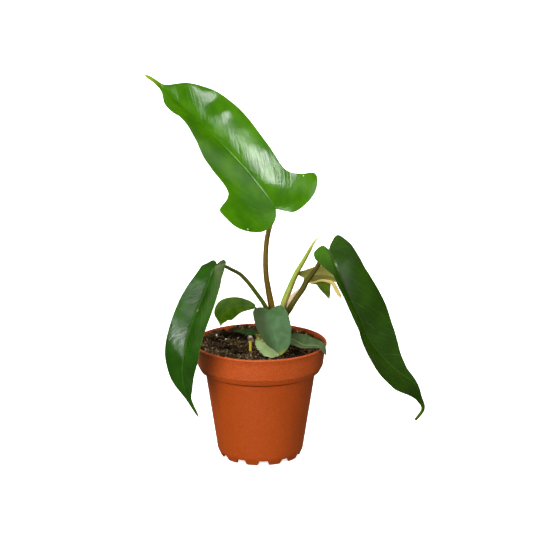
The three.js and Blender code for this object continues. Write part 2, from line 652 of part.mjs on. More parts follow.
function pot() {
  const inner = BASE_RADIUS - STANDING_RING_WIDTH;
  const shell = toSolid(turned([
    [0, 0], [CENTRE_FOOT_RADIUS, 0], [CENTRE_FOOT_RADIUS + 1.5, FLOOR_HEIGHT],
    [inner, FLOOR_HEIGHT], [inner, 0], ...potOutside, ...potInside,
    [inner, FLOOR_TOP], [CENTRE_FOOT_RADIUS + 0.6, FLOOR_TOP], [CENTRE_FOOT_RADIUS - 1, WALL],
    [0, WALL],
  ], POT_SEGMENTS));
  let body = shell;
  for (let i = 0; i < NOTCH_COUNT; i += 1) {
    const cut = notch().rotateZ(THREE.MathUtils.degToRad(NOTCH_TURN + i * 360 / NOTCH_COUNT));
    body = body.subtract(toSolid(cut));
  }
  for (let i = 0; i < DRAIN_COUNT; i += 1) {
    const deep = 2 * FLOOR_HEIGHT;
    const drain = new THREE.CylinderGeometry(DRAIN_RADIUS, DRAIN_RADIUS, deep, DRAIN_SIDES);
    drain.rotateX(Math.PI / 2).translate(DRAIN_CIRCLE, 0, FLOOR_HEIGHT);
    drain.rotateZ(THREE.MathUtils.degToRad(NOTCH_TURN + i * 360 / DRAIN_COUNT));
    body = body.subtract(toSolid(drain));
  }
  return body;
}

// Height of the soil at a place: waves about 30 mm and 15 mm long, and a dip in front.
function soilHeight(x, y) {
  const longWaves = Math.sin(x / 4.8 + 1) * Math.cos(y / 5.9 + 2);
  const shortWaves = 0.5 * Math.sin(x / 2.3 - y / 2.7);
  const away = ((x - SOIL_DIP.x) ** 2 + (y - SOIL_DIP.y) ** 2) / SOIL_DIP.reach ** 2;
  const dip = SOIL_DIP.depth * Math.exp(-away / 2);
  return SOIL_LEVEL + SOIL_WAVE * (longWaves + shortWaves) - dip;
}

function soil() {
  const wall = potInside.map(([radius, height]) => [radius - SOIL_GAP, height]).reverse();
  const edge = wall.filter(([, height]) => height < SOIL_LEVEL - SOIL_DIP.depth);
  const rimRadius = insideRadius(SOIL_LEVEL) - SOIL_GAP;
  const rings = [];
  for (let i = 0; i <= SOIL_RINGS; i += 1) {
    rings.push([rimRadius * (1 - i / SOIL_RINGS), SOIL_LEVEL]);
  }
  const floor = FLOOR_TOP + CLEARANCE;
  const foot = [[0, floor], [BASE_RADIUS - SOIL_FOOT_INSET, floor]];
  const body = turned([...foot, ...edge, ...rings], SOIL_SECTORS);
  const position = body.attributes.position;
  for (let i = 0; i < position.count; i += 1) {
    if (position.getZ(i) > SOIL_LEVEL - 0.01) {
      position.setZ(i, soilHeight(position.getX(i), position.getY(i)));
    }
  }
  return toSolid(body);
}

function crown(spread) {
  const { x, y, foot, top, radius } = CROWN;
  const { waistRise, shoulder } = CROWN_SHAPE;
  const body = turned([
    [0, foot - spread], [radius * CROWN_SHAPE.foot + spread, foot - spread],
    [radius * CROWN_SHAPE.waist + spread, foot + waistRise], [radius + spread, top - shoulder],
    [radius + spread, top + spread], [0, top + spread],
  ], CROWN_SEGMENTS);
  return toSolid(body.translate(x, y, 0));
}

function stub(spread) {
  const { x, y, foot, top, radius, taper, segments } = STUB;
  const body = turned([
    [0, foot - spread], [radius + spread, foot - spread], [radius * taper + spread, top], [0, top],
  ], segments);
  return toSolid(body.translate(x, y, 0));
}

// A ball of root tissue that swells and shrinks by a sine wave across it.
function knob() {
  const ball = new THREE.IcosahedronGeometry(KNOB.radius, 1);
  const position = ball.attributes.position;
  for (let i = 0; i < position.count; i += 1) {
    const [px, py, pz] = [position.getX(i), position.getY(i), position.getZ(i)];
    const swell = 1 + KNOB.swell * Math.sin(px * 2.1 + pz * 1.3);
    position.setXYZ(i, px * swell, py * swell * KNOB.depth, pz);
  }
  return toSolid(ball.translate(KNOB.x, KNOB.y, KNOB.z));
}

// ---------- the plant ----------

const plant = new THREE.Group();

function addNode(name, solid, material) {
  const mesh = new THREE.Mesh(toGeometry(solid), material);
  mesh.name = name;
  plant.add(mesh);
}

addNode('pot', pot(), TERRACOTTA_PLASTIC);
addNode('soil', soil().subtract(crown(CLEARANCE)).subtract(stub(CLEARANCE)), PEAT);
addNode('crown', crown(0), OLIVE_STALK);
addNode('stub', stub(0), YELLOW_SHEATH);
addNode('root_knob', knob().subtract(stub(CLEARANCE)), GREY_KNOB);

Object.keys(LEAVES).forEach((name) => {
  addNode(name, toSolid(leafBlade(name)), LEAF_FINISH[name]);
});

const crownSpace = crown(CLEARANCE);
Object.entries(STALKS).forEach(([name, stalk]) => {
  const seat = (stalk.behind ? seatBehind : seatUnder)(LEAVES[stalk.leaf]);
  const free = toSolid(stem(stalk)).subtract(crownSpace);
  const body = largest(free.trimByPlane(seat.away.toArray(), seat.offset));
  addNode(name, body, STALK_FINISH[name] ?? LIME_SHOOT);
});

addNode('new_shoot', toSolid(stem(GROWTHS.new_shoot)).subtract(crownSpace), LIME_SHOOT);
addNode('sheath_beige', toSolid(stem(GROWTHS.sheath_beige)), BEIGE_SHEATH);
addNode('sheath_yellow', toSolid(stem(GROWTHS.sheath_yellow)), YELLOW_SHEATH);

export default plant;
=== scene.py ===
# %% [markdown]
# # A young philodendron in a nursery pot
# The plant is a handful of thin blades on fleshy stalks, all growing from one short crown in
# a pot of peat. A leaf could be sculpted by hand, or bent from a flat card with modifiers.
# Here every piece is a formula on a grid instead: the outline, the fold at the midrib and the
# veins are all numbers, so the blade stays in place to a tenth of a millimetre.

import bmesh
import bpy
import numpy as np
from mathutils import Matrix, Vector


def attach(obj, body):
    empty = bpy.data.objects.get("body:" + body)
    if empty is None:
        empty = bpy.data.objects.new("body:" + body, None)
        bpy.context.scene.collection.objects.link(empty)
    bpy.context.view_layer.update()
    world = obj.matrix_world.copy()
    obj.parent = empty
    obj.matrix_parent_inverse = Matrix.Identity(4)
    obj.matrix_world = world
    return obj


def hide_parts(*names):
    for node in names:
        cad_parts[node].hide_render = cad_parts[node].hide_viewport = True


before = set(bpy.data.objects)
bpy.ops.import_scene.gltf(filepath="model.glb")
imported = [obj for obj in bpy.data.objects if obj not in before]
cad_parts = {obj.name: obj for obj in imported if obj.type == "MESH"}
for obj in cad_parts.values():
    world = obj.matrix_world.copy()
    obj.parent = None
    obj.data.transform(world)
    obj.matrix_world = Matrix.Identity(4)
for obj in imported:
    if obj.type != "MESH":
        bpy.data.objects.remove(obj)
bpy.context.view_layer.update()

MM = 0.001

# %% [markdown]
# ## The camera
# The rim, the step under the collar and the foot of the pot are all circles, and in a picture
# each is an ellipse. How flat each ellipse is gives the camera's tilt, and how the three
# differ gives its distance. A long lens from a metre and a half away fits all three.

# %% Camera
PICTURE_WIDTH = 533                       # pixels, a square picture
FOCAL_PIXELS = 1781
CAMERA_PLACE = (4.87, -1345.07, 485.29)   # mm
CAMERA_TILT = 13.9                        # degrees below level
SENSOR_WIDTH = 36

camera_data = bpy.data.cameras.new("camera")
camera_data.sensor_width = SENSOR_WIDTH
camera_data.lens = SENSOR_WIDTH * FOCAL_PIXELS / PICTURE_WIDTH
camera_data.clip_end = 60
camera = bpy.data.objects.new("camera", camera_data)
camera.location = [MM * value for value in CAMERA_PLACE]
camera.rotation_euler = (np.radians(90 - CAMERA_TILT), 0, 0)
bpy.context.scene.collection.objects.link(camera)
bpy.context.scene.camera = camera
print("lens, mm:", round(camera_data.lens, 1))

# %% [markdown]
# ## Curves
# Midribs and stalks bend freely, so each is a smooth curve through a few chosen points. A
# Bezier curve would need handles as well. A Catmull-Rom curve needs only the points, and it
# works on whole arrays of places at once.

# %% Curves through points
def unit(vectors):
    """Each vector divided by its own length."""
    return vectors / np.maximum(np.linalg.norm(vectors, axis=-1, keepdims=True), 1e-9)


def catmull(points, place):
    """Places 0 to 1 on a Catmull-Rom curve. Between p1 and p2 it is the cubic whose slopes
    there are (p2 - p0) / 2 and (p3 - p1) / 2, and the two ends are mirrored."""
    p = np.asarray(points, float)
    p = np.vstack([2 * p[0] - p[1], p, 2 * p[-1] - p[-2]])
    stretches = len(p) - 3
    t = np.clip(np.asarray(place, float), 0, 1) * stretches
    i = np.minimum(t.astype(int), stretches - 1)
    t = (t - i)[..., None]
    p0, p1, p2, p3 = p[i], p[i + 1], p[i + 2], p[i + 3]
    s1, s2 = (p2 - p0) / 2, (p3 - p1) / 2
    cubic = (2 * p1 - 2 * p2 + s1 + s2) * t**3 + (3 * p2 - 3 * p1 - 2 * s1 - s2) * t**2
    return cubic + s1 * t + p1


CHORDS = 800
NUDGE = 1e-3                              # step to each side that gives a curve's direction


def by_length(points, share):
    """Point, direction and whole length, at shares of the curve's length: the run along many
    short chords is added up and read backwards, from a length to a place."""
    steps = np.linspace(0, 1, CHORDS + 1)
    chords = np.linalg.norm(np.diff(catmull(points, steps), axis=0), axis=1)
    run = np.concatenate([[0], np.cumsum(chords)])
    place = np.interp(np.asarray(share, float) * run[-1], run, steps)
    ahead = catmull(points, np.minimum(place + NUDGE, 1))
    behind = catmull(points, np.maximum(place - NUDGE, 0))
    return catmull(points, place), unit(ahead - behind), run[-1]


def ramp(values, share):
    """A plain number, or straight lines between pairs of a share and a value."""
    if np.isscalar(values):
        return np.full(np.shape(share), float(values))
    pairs = np.asarray(values, float)
    return np.interp(share, pairs[:, 0], pairs[:, 1])


def bell(distance, width):
    """exp(-(distance / width)^2): 1 in the middle, and near 0 past two widths."""
    return np.exp(-((distance / width) ** 2))


NOISE_NUMBERS = 4096
NOISE_PRIMES = [73856093, 19349663, 83492791]     # they spread the lattice over the numbers


def rough(points, cell, seed):
    """Smooth noise from -1 to 1. Each corner of a lattice of cells holds a random number, and
    a point blends its eight corners by 3t^2 - 2t^3 along each axis."""
    table = np.random.default_rng(seed).uniform(-1, 1, NOISE_NUMBERS)
    q = np.asarray(points, float) / cell
    low = np.floor(q).astype(np.int64)
    t = q - low
    t = t * t * (3 - 2 * t)
    total = 0.0
    for corner in np.ndindex(2, 2, 2):
        k = (low + corner) * NOISE_PRIMES
        key = (k[..., 0] ^ k[..., 1] ^ k[..., 2]) % NOISE_NUMBERS
        total = total + table[key] * np.where(corner, t, 1 - t).prod(axis=-1)
    return total

# %% [markdown]
# ## From arrays to a piece
# A surface worked out as arrays becomes a mesh in one go. Points that fall together, at seams
# and poles, are merged, and the faces are then turned outwards. Each point also carries where
# it lies on the flat, unbent shape, in millimetres, so that veins and streaks in a material
# follow the piece round its bends.

# %% Meshes
TOGETHER = 2e-6                           # metres: points nearer than this become one


def grid_faces(rows, columns, closed=False, first=0):
    """Corners of the quads between neighbours of a grid that is numbered row by row. A closed
    grid also joins each last column to the first."""
    i = np.arange(rows - 1)[:, None] * columns
    j = np.arange(columns if closed else columns - 1)[None, :]
    k = (j + 1) % columns
    quads = np.stack([i + j, i + k, i + columns + k, i + columns + j], axis=-1)
    return quads.reshape(-1, 4) + first


def piece(name, points, faces, finish, nodes=(), flat=None, marks=None, smooth=True):
    """A mesh object at the origin, from points in mm. flat is a place for each point on the
    unbent shape, and marks are further named numbers for each point."""
    mesh = bpy.data.meshes.new(name)
    mesh.from_pydata((np.asarray(points) * MM).tolist(), [], [list(map(int, f)) for f in faces])
    flat = points if flat is None else flat
    layer = mesh.attributes.new("flat", "FLOAT_VECTOR", "POINT")
    layer.data.foreach_set("vector", np.asarray(flat, np.float32).ravel())
    for key, values in (marks or {}).items():
        layer = mesh.attributes.new(key, "FLOAT", "POINT")
        layer.data.foreach_set("value", np.asarray(values, np.float32).ravel())
    work = bmesh.new()
    work.from_mesh(mesh)
    bmesh.ops.remove_doubles(work, verts=work.verts, dist=TOGETHER)
    bmesh.ops.recalc_face_normals(work, faces=work.faces)
    work.to_mesh(mesh)
    open_edges = sum(1 for edge in work.edges if len(edge.link_faces) != 2)
    work.free()
    mesh.polygons.foreach_set("use_smooth", np.full(len(mesh.polygons), smooth))
    made = bpy.data.objects.new(name, mesh)
    bpy.context.scene.collection.objects.link(made)
    mesh.materials.append(finish)
    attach(made, "root")
    if nodes:
        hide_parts(*nodes)
    print(name, len(mesh.polygons), "faces, open edges:", open_edges)
    return made

# %% [markdown]
# ## Shader maths as expressions
# A material is a small program of nodes. Wired by hand it is hard to read, so a socket is
# wrapped in a class whose operators add the Math nodes: 1 - vein * 0.4 is then just that.

# %% Sockets in expressions
class Value:
    """A socket that takes part in expressions; each operator adds one Math node."""

    def __init__(self, finish, socket):
        self.finish = finish
        self.socket = socket

    def math(self, operation, *others):
        """One Math node of this value and the others."""
        sockets = dict(enumerate([self, *others]))
        return self.finish.node("Math", {"operation": operation}, sockets)

    def __add__(self, other):
        return self.math("ADD", other)

    def __sub__(self, other):
        return self.math("SUBTRACT", other)

    def __mul__(self, other):
        return self.math("MULTIPLY", other)

    def __truediv__(self, other):
        return self.math("DIVIDE", other)

    def __rsub__(self, other):
        return self.finish.node("Math", {"operation": "SUBTRACT"}, {0: other, 1: self})

    __radd__ = __add__
    __rmul__ = __mul__

    def __abs__(self):
        return self.math("ABSOLUTE")

    def between(self, low, high):
        """0 at low, 1 at high, with a smooth step between; low may be the larger."""
        sockets = {"Value": self, "From Min": low, "From Max": high}
        return self.finish.node("MapRange", {"interpolation_type": "SMOOTHSTEP"}, sockets)

# %% Materials from expressions
class Finish:
    """The nodes of a material, or of an owner that is given, such as the world."""

    def __init__(self, name, owner=None):
        self.owner = owner or bpy.data.materials.new(name)
        self.owner.use_nodes = True
        self.tree = self.owner.node_tree
        self.tree.nodes.clear()

    def node(self, kind, settings=None, sockets=None, out=0):
        """Adds a node: its settings first, then the values or links of its sockets."""
        made = self.tree.nodes.new("ShaderNode" + kind)
        for key, value in (settings or {}).items():
            setattr(made, key, value)
        for key, value in (sockets or {}).items():
            if isinstance(value, Value):
                self.tree.links.new(value.socket, made.inputs[key])
            else:
                made.inputs[key].default_value = value
        return Value(self, made.outputs[out])

    def mark(self, name):
        """One of a piece's named numbers."""
        return self.node("Attribute", {"attribute_name": name}, out=2)

    def flat(self):
        """Place on the unbent shape, in mm, as a vector."""
        return self.node("Attribute", {"attribute_name": "flat"}, out=1)

    def parts(self, vector):
        """The three numbers of a vector."""
        made = self.node("SeparateXYZ", sockets={0: vector}).socket.node
        return [Value(self, socket) for socket in made.outputs]

    def stretched(self, vector, by):
        """Each part of a vector times its own number; 0 flattens that direction."""
        return self.node("VectorMath", {"operation": "MULTIPLY"}, {0: vector, 1: by})

    def noise(self, vector, scale, detail=2.0, roughness=0.5):
        sockets = {"Vector": vector, "Scale": scale, "Detail": detail, "Roughness": roughness}
        return self.node("TexNoise", sockets=sockets)

    def mix(self, share, first, second):
        """Colour first at share 0, and second at share 1. Three plain numbers are a screen
        colour, which is turned into linear light."""
        sockets = {0: share}
        for key, tone in ((6, first), (7, second)):
            plain = isinstance(tone, tuple) and len(tone) == 3
            sockets[key] = colour(*tone) if plain else tone
        return self.node("Mix", {"data_type": "RGBA"}, sockets, out=2)

    def bump(self, height, distance, strength=1.0):
        """A normal tilted by height, which is 0 to 1 and stands for distance in mm."""
        sockets = {"Height": height, "Distance": distance * MM, "Strength": strength}
        return self.node("Bump", sockets=sockets)

    def shade(self, **sockets):
        """The Principled shader and the output. A name's _ stands for a space."""
        named = {key.replace("_", " "): value for key, value in sockets.items()}
        return self.output("Material", self.node("BsdfPrincipled", sockets=named))

    def output(self, kind, shader):
        """Ends the nodes with the output of a material or a world, which is returned."""
        made = self.tree.nodes.new("ShaderNodeOutput" + kind)
        self.tree.links.new(shader.socket, made.inputs["Surface"])
        return self.owner


def colour(red, green, blue):
    """A screen colour of 0 to 255, as the linear light that shaders mix:
    ((c + 0.055) / 1.055)^2.4, or c / 12.92 for the darkest."""
    c = np.array([red, green, blue]) / 255
    linear = np.where(c > 0.04045, ((c + 0.055) / 1.055) ** 2.4, c / 12.92)
    return (*(float(value) for value in linear), 1.0)

# %% [markdown]
# ## The pot
# A nursery pot is moulded in one piece from soft plastic, so every edge is a little round.
# A lathe would turn the profile, but the foot has notches, which are not round about the
# axis. So the turned surface is a grid of heights and angles, and in each notch the lowest
# points of the foot are simply lifted.

# %% Pot profile
POT_HEIGHT = 92
RIM_RADIUS = 52.5
WALL = 1.3
COLLAR_LOW, COLLAR_RADIUS = 70, 47.3
CHAMFER_TOP, CHAMFER_RADIUS = 74, 49.2
BODY_RADIUS = 43.4
FOOT_RADIUS, FOOT_HEIGHT = 34, 6
BASE_RADIUS = 31.5
FLOOR_HEIGHT = 4
CENTRE_FOOT_RADIUS = 12
STANDING_RING = 1.6
INNER_BASE = BASE_RADIUS - STANDING_RING
FLOOR_TOP = FLOOR_HEIGHT + WALL

outside = [
    [BASE_RADIUS, 0], [BASE_RADIUS + 0.8, 2.2], [FOOT_RADIUS - 0.6, 4.2], [FOOT_RADIUS, FOOT_HEIGHT],
    [BODY_RADIUS - 0.3, COLLAR_LOW - 4], [BODY_RADIUS, COLLAR_LOW - 0.9], [COLLAR_RADIUS, COLLAR_LOW],
    [CHAMFER_RADIUS - 0.1, CHAMFER_TOP], [CHAMFER_RADIUS + 0.3, CHAMFER_TOP + 0.3],
    [RIM_RADIUS - 1.4, POT_HEIGHT - 5],
    [RIM_RADIUS - 0.6, POT_HEIGHT - 2.2],
    [RIM_RADIUS, POT_HEIGHT - 1.2], [RIM_RADIUS - 0.4, POT_HEIGHT],
]
inside = [
    [RIM_RADIUS - WALL, POT_HEIGHT], [RIM_RADIUS - WALL - 0.6, POT_HEIGHT - 2],
    [CHAMFER_RADIUS - WALL, CHAMFER_TOP], [COLLAR_RADIUS - WALL - 0.4, COLLAR_LOW],
    [BODY_RADIUS - WALL - 0.1, COLLAR_LOW - 3], [FOOT_RADIUS - WALL, FOOT_HEIGHT + 1],
]
below = [[0, 0], [CENTRE_FOOT_RADIUS, 0], [CENTRE_FOOT_RADIUS + 1.5, FLOOR_HEIGHT],
    [INNER_BASE, FLOOR_HEIGHT], [INNER_BASE, 0]]
floor = [[INNER_BASE, FLOOR_TOP], [CENTRE_FOOT_RADIUS + 0.6, FLOOR_TOP],
    [CENTRE_FOOT_RADIUS - 1, WALL], [0, WALL]]

# %% Rounding and filling a profile
def rounded(corners, radius, steps=6):
    """The profile with each corner replaced by a short curve. It is the parabola that starts
    and ends a cut away from the corner: (1-t)^2 a + 2t(1-t) corner + t^2 b."""
    p = np.array(corners, float)
    back, ahead = p[:-2] - p[1:-1], p[2:] - p[1:-1]
    cut_back = np.minimum(radius, 0.4 * np.linalg.norm(back, axis=1, keepdims=True))
    cut_ahead = np.minimum(radius, 0.4 * np.linalg.norm(ahead, axis=1, keepdims=True))
    a, b = p[1:-1] + unit(back) * cut_back, p[1:-1] + unit(ahead) * cut_ahead
    t = np.linspace(0, 1, steps)[None, :, None]
    bends = (1 - t) ** 2 * a[:, None] + 2 * t * (1 - t) * p[1:-1, None] + t**2 * b[:, None]
    return np.vstack([p[:1], bends.reshape(-1, 2), p[-1:]])


def filled(profile, longest):
    """The profile with more points, evenly between two that lie further apart than longest."""
    gaps = np.linalg.norm(np.diff(profile, axis=0), axis=1)
    counts = np.maximum(np.ceil(gaps / longest).astype(int), 1)
    place = np.repeat(np.arange(len(gaps)), counts)
    within = np.arange(len(place)) - np.repeat(np.cumsum(counts) - counts, counts)
    t = (within / counts[place])[:, None]
    return np.vstack([profile[place] * (1 - t) + profile[place + 1] * t, profile[-1:]])


EDGE_ROUNDING = 0.4
LONGEST_STEP = 3.0
pot_profile = filled(rounded(below + outside + inside + floor, EDGE_ROUNDING), LONGEST_STEP)
print("pot profile points:", len(pot_profile))

# %% Pot surface
POT_SECTORS = 360
NOTCH_COUNT = 11
NOTCH_TURN = np.radians(-85.2)
NOTCH_HEIGHT = 3.8
NOTCH_FOOT, NOTCH_TOP = 9.0, 6.4          # width at the ground, and at the notch's top
DRAIN_COUNT, DRAIN_RADIUS, DRAIN_CIRCLE = 6, 4, 21.5


def turned(profile, sectors):
    """Points of a profile of (radius, height) turned about the vertical, as
    (radius cos angle, radius sin angle, height), a row for each place on the profile."""
    angle = np.arange(sectors) * 2 * np.pi / sectors
    radius, height = profile[:, :1], profile[:, 1:]
    return np.stack([radius * np.cos(angle), radius * np.sin(angle), height + 0 * angle], axis=-1)


def notched(points):
    """The foot's points lifted in each notch. The lift is its full height within half the
    top width of the notch's middle, and falls evenly to none at half the width below."""
    angle = np.arctan2(points[..., 1], points[..., 0])
    pitch = 2 * np.pi / NOTCH_COUNT
    away = np.abs((angle - NOTCH_TURN + pitch / 2) % pitch - pitch / 2) * BASE_RADIUS
    slope = (NOTCH_FOOT - NOTCH_TOP) / 2
    lift = NOTCH_HEIGHT * np.clip((NOTCH_FOOT / 2 - away) / slope, 0, 1)
    on_ring = np.hypot(points[..., 0], points[..., 1]) > INNER_BASE - 0.6
    raised = np.maximum(points[..., 2], lift)
    points[..., 2] = np.where(on_ring & (points[..., 2] < NOTCH_HEIGHT), raised, points[..., 2])
    return points


# %% Pot finish
def band(height, low, full, fade, high):
    """1 from full to fade, in mm over the ground, and 0 below low and above high."""
    return height.between(low * MM, full * MM) * height.between(high * MM, fade * MM)


def pot_finish():
    """Cloudy orange with a fine grain and a little dust near the rim, a painted lift of light on
    the collar, and dark lines of painted shade in the crease under the collar and on the edge
    where the collar stops widening quickly."""
    f = Finish("terracotta_plastic")
    place = f.node("TexCoord", out=3)
    z = f.parts(place)[2]
    cloud = f.noise(place, 38, 3)
    grain = f.noise(place, 760, 2)
    rings = f.noise(f.stretched(place, (3, 3, 900)), 1, 2)
    base = f.mix(cloud, (168, 68, 16), (178, 76, 22))
    # painted light: from 70 mm up the collar is painted a lighter orange than the body
    base = f.mix(z.between(0.070, 0.075) * 0.35, base, (204, 94, 44))
    base = f.mix(grain.between(0.40, 0.60) * 0.5, base, (150, 58, 12))
    # painted shade: a dark band painted into the crease just under the collar's step
    crease = band(z, COLLAR_LOW - 2.4, COLLAR_LOW - 1.2, COLLAR_LOW - 0.8, COLLAR_LOW)
    base = f.mix(crease * 0.7, base, (84, 30, 6))
    # painted shade: a thin dark line painted along the top edge of the chamfer
    line = band(z, CHAMFER_TOP - 0.4, CHAMFER_TOP, CHAMFER_TOP + 0.1, CHAMFER_TOP + 0.5)
    base = f.mix(line * 0.45, base, (116, 44, 8))
    dust = f.noise(place, 160, 5, 0.7).between(0.60, 0.72) * z.between(0.05, 0.092) * 0.35
    base = f.mix(dust, base, (120, 84, 58))
    height = grain * 0.7 + rings * 0.3
    return f.shade(Base_Color=base, Roughness=0.40 + 0.10 * cloud, Normal=f.bump(height, 0.08, 0.6),
                   IOR=1.46)


pot_points = notched(turned(pot_profile, POT_SECTORS)).reshape(-1, 3)
pot = piece("nursery_pot", pot_points, grid_faces(len(pot_profile), POT_SECTORS, closed=True),
            pot_finish(), nodes=["pot"])

# %% [markdown]
# The drain holes go through the raised floor. Six short cylinders, joined in one cutter, are
# taken away by a Boolean that is applied at once.

# %% Drain holes
DRAIN_LOW, DRAIN_HIGH = 1, 9              # heights that a cutter reaches from and to
DRAIN_SECTORS = 32


def drain_cutter():
    """Cylinders about the vertical, their middles at even angles on a circle."""
    profile = [[0, DRAIN_LOW], [DRAIN_RADIUS, DRAIN_LOW], [DRAIN_RADIUS, DRAIN_HIGH], [0, DRAIN_HIGH]]
    one = turned(np.array(profile, float), DRAIN_SECTORS).reshape(-1, 3)
    turn = NOTCH_TURN + np.arange(DRAIN_COUNT) * 2 * np.pi / DRAIN_COUNT
    centre = DRAIN_CIRCLE * np.stack([np.cos(turn), np.sin(turn), 0 * turn], axis=-1)
    points = (centre[:, None] + one[None]).reshape(-1, 3)
    faces = [grid_faces(len(profile), DRAIN_SECTORS, closed=True, first=i * len(one))
             for i in range(DRAIN_COUNT)]
    return piece("drain_cutter", points, np.vstack(faces), pot.data.materials[0])


cutter = drain_cutter()
hole = pot.modifiers.new("drains", "BOOLEAN")
hole.operation = "DIFFERENCE"
hole.solver = "EXACT"
hole.object = cutter
bpy.context.view_layer.update()
bpy.context.view_layer.objects.active = pot
bpy.ops.object.modifier_apply(modifier=hole.name)
bpy.data.objects.remove(cutter)
print("pot after the drain holes:", len(pot.data.polygons), "faces")

# %% [markdown]
# ## The soil
# Peat is a loose heap of crumbs, fibres and a few white grains of perlite. One displaced
# surface alone looks like mud, and crumbs alone leave holes. So a rough bed carries the
# heap's shape, and thousands of small lumps with a few faces each lie half sunk in it.

# %% Soil bed
SOIL_LEVEL = 86.5
SOIL_WAVE = 0.96
SOIL_DIP = dict(x=12, y=-26, depth=1.6, reach=10.5)
SOIL_FLOOR = FLOOR_TOP + 0.3
WALL_GAP = 0.25
BED_RINGS, BED_SECTORS = 84, 300


def soil_height(x, y):
    """Heap of the soil: two crossed sine waves about 30 and 15 mm long, less a bell-shaped
    dip in front."""
    long_waves = np.sin(x / 4.8 + 1) * np.cos(y / 5.9 + 2)
    short_waves = 0.5 * np.sin(x / 2.3 - y / 2.7)
    away = np.hypot(x - SOIL_DIP["x"], y - SOIL_DIP["y"]) / SOIL_DIP["reach"]
    return SOIL_LEVEL + SOIL_WAVE * (long_waves + short_waves) - SOIL_DIP["depth"] * np.exp(-away**2 / 2)

# %% Bank and hollows
BANK = dict(rise=4.6, start=27, end=49, turn=np.radians(118))
BED_SINK = 1.1                    # mm that the bed lies below the heap, for the crumbs on it
COARSE = dict(cell=3.4, rise=1.7, seed=11)
FINE = dict(cell=1.5, rise=0.9, seed=12)
HOLLOWS = np.array([[-25, 31, 3.2, 6], [-15, 31, 3.0, 5], [-6, 33, 2.2, 5], [-34, 20, 2.0, 5],
                    [-16, -13, 1.6, 5], [-28, -3, 1.4, 6], [31, -14, 2.4, 6], [22, -24, 1.8, 5],
                    [24, 28, 2.0, 6], [38, 6, 1.6, 6]])      # x, y, depth, reach


def hollow(x, y):
    """How deep the hollows go at a place: the sum of their bells, exp(-(distance / reach)^2)."""
    away = np.hypot(x[..., None] - HOLLOWS[:, 0], y[..., None] - HOLLOWS[:, 1])
    return (HOLLOWS[:, 2] * bell(away, HOLLOWS[:, 3])).sum(axis=-1)


def bed_height(x, y):
    """The heap, banked up against the wall at the back and left, less the hollows, with the
    crumbs' own roughness: noise in cells of 3.4 and 1.5 mm, its negative half folded up."""
    place = np.stack([x, y, 0 * x], axis=-1)
    coarse = np.abs(rough(place, COARSE["cell"], COARSE["seed"]))
    fine = np.abs(rough(place, FINE["cell"], FINE["seed"]))
    near = np.clip((np.hypot(x, y) - BANK["start"]) / (BANK["end"] - BANK["start"]), 0, 1)
    facing = (1 + np.cos(np.arctan2(y, x) - BANK["turn"])) / 2
    bank = BANK["rise"] * near**2 * facing
    heap = soil_height(x, y) - BED_SINK + bank - hollow(x, y)
    return heap + COARSE["rise"] * coarse + FINE["rise"] * fine

# %% Bed inside the pot
def inside_radius(height):
    """Radius of the pot's inside, straight between the points of its profile."""
    wall = np.array(inside[::-1])
    return np.interp(height, wall[:, 1], wall[:, 0])


def soil_bed():
    """Rings of the heap from the middle out, which widen near the wall to reach it at their
    own height, then the sides and the foot of the peat inside the pot."""
    edge = inside_radius(SOIL_LEVEL - 1) - WALL_GAP
    top = np.stack([np.linspace(0, edge, BED_RINGS), np.full(BED_RINGS, SOIL_LEVEL)], axis=-1)
    height = np.array([SOIL_LEVEL - 4, COLLAR_LOW + 1, COLLAR_LOW - 4, FOOT_HEIGHT + 1, SOIL_FLOOR])
    wall = np.stack([inside_radius(height) - WALL_GAP - 0.3, height], axis=-1)
    foot = np.array([[0, SOIL_FLOOR]])
    points = turned(np.vstack([top, wall, foot]), BED_SECTORS)
    heap = points[:BED_RINGS]
    heap[..., 2] = bed_height(heap[..., 0], heap[..., 1])
    wider = (inside_radius(heap[-1, :, 2]) - WALL_GAP) / edge - 1
    share = np.linspace(0, 1, BED_RINGS)[:, None]
    heap[..., :2] *= (1 + wider * share**4)[..., None]
    return points.reshape(-1, 3), grid_faces(len(points), BED_SECTORS, closed=True)

# %% Peat finish
def peat_finish():
    """Dark clumps and lighter grit; tone makes a crumb or fibre pale, and paints shade into a hollow,
    nearly black.
    """
    f = Finish("peat")
    place = f.node("TexCoord", out=3)
    tone = f.mark("tone")
    clumps = f.noise(place, 260, 4, 0.7)
    grit = f.noise(place, 1500, 3, 0.7)
    base = f.mix(clumps.between(0.3, 0.7), (24, 17, 9), (66, 50, 31))
    base = f.mix(tone.between(0.4, 1.0) * 0.9, base, (156, 132, 96))
    base = f.mix(grit.between(0.60, 0.74) * 0.6, base, (140, 114, 82))
    base = f.mix(grit.between(0.44, 0.30) * 0.7, base, (14, 10, 6))
    # painted shade: where tone falls to 0, in the hollows, the peat turns nearly black
    base = f.mix(tone.between(0.15, 0.0) * 0.85, base, (9, 6, 3))
    return f.shade(Base_Color=base, Roughness=0.92, Specular_IOR_Level=0.15,
                   Normal=f.bump(grit, 0.35, 0.9))


PEAT = peat_finish()
bed_points, bed_faces = soil_bed()
DEEPEST = 0.8                     # mm of hollow at which the peat looks darkest
BED_TONE = 0.2
# painted shade: the bed's tone falls to 0 in the hollows, where shade gathers
bed_hollow_shade = BED_TONE * np.clip(1 - hollow(bed_points[:, 0], bed_points[:, 1]) / DEEPEST, 0, 1)
piece("soil_bed", bed_points, bed_faces, PEAT, nodes=["soil"], marks={"tone": bed_hollow_shade})

# %% [markdown]
# A crumb is an icosahedron with twelve jittered corners. All of them are worked out together:
# an array of corners times an array of random turns and sizes, plus an array of places.

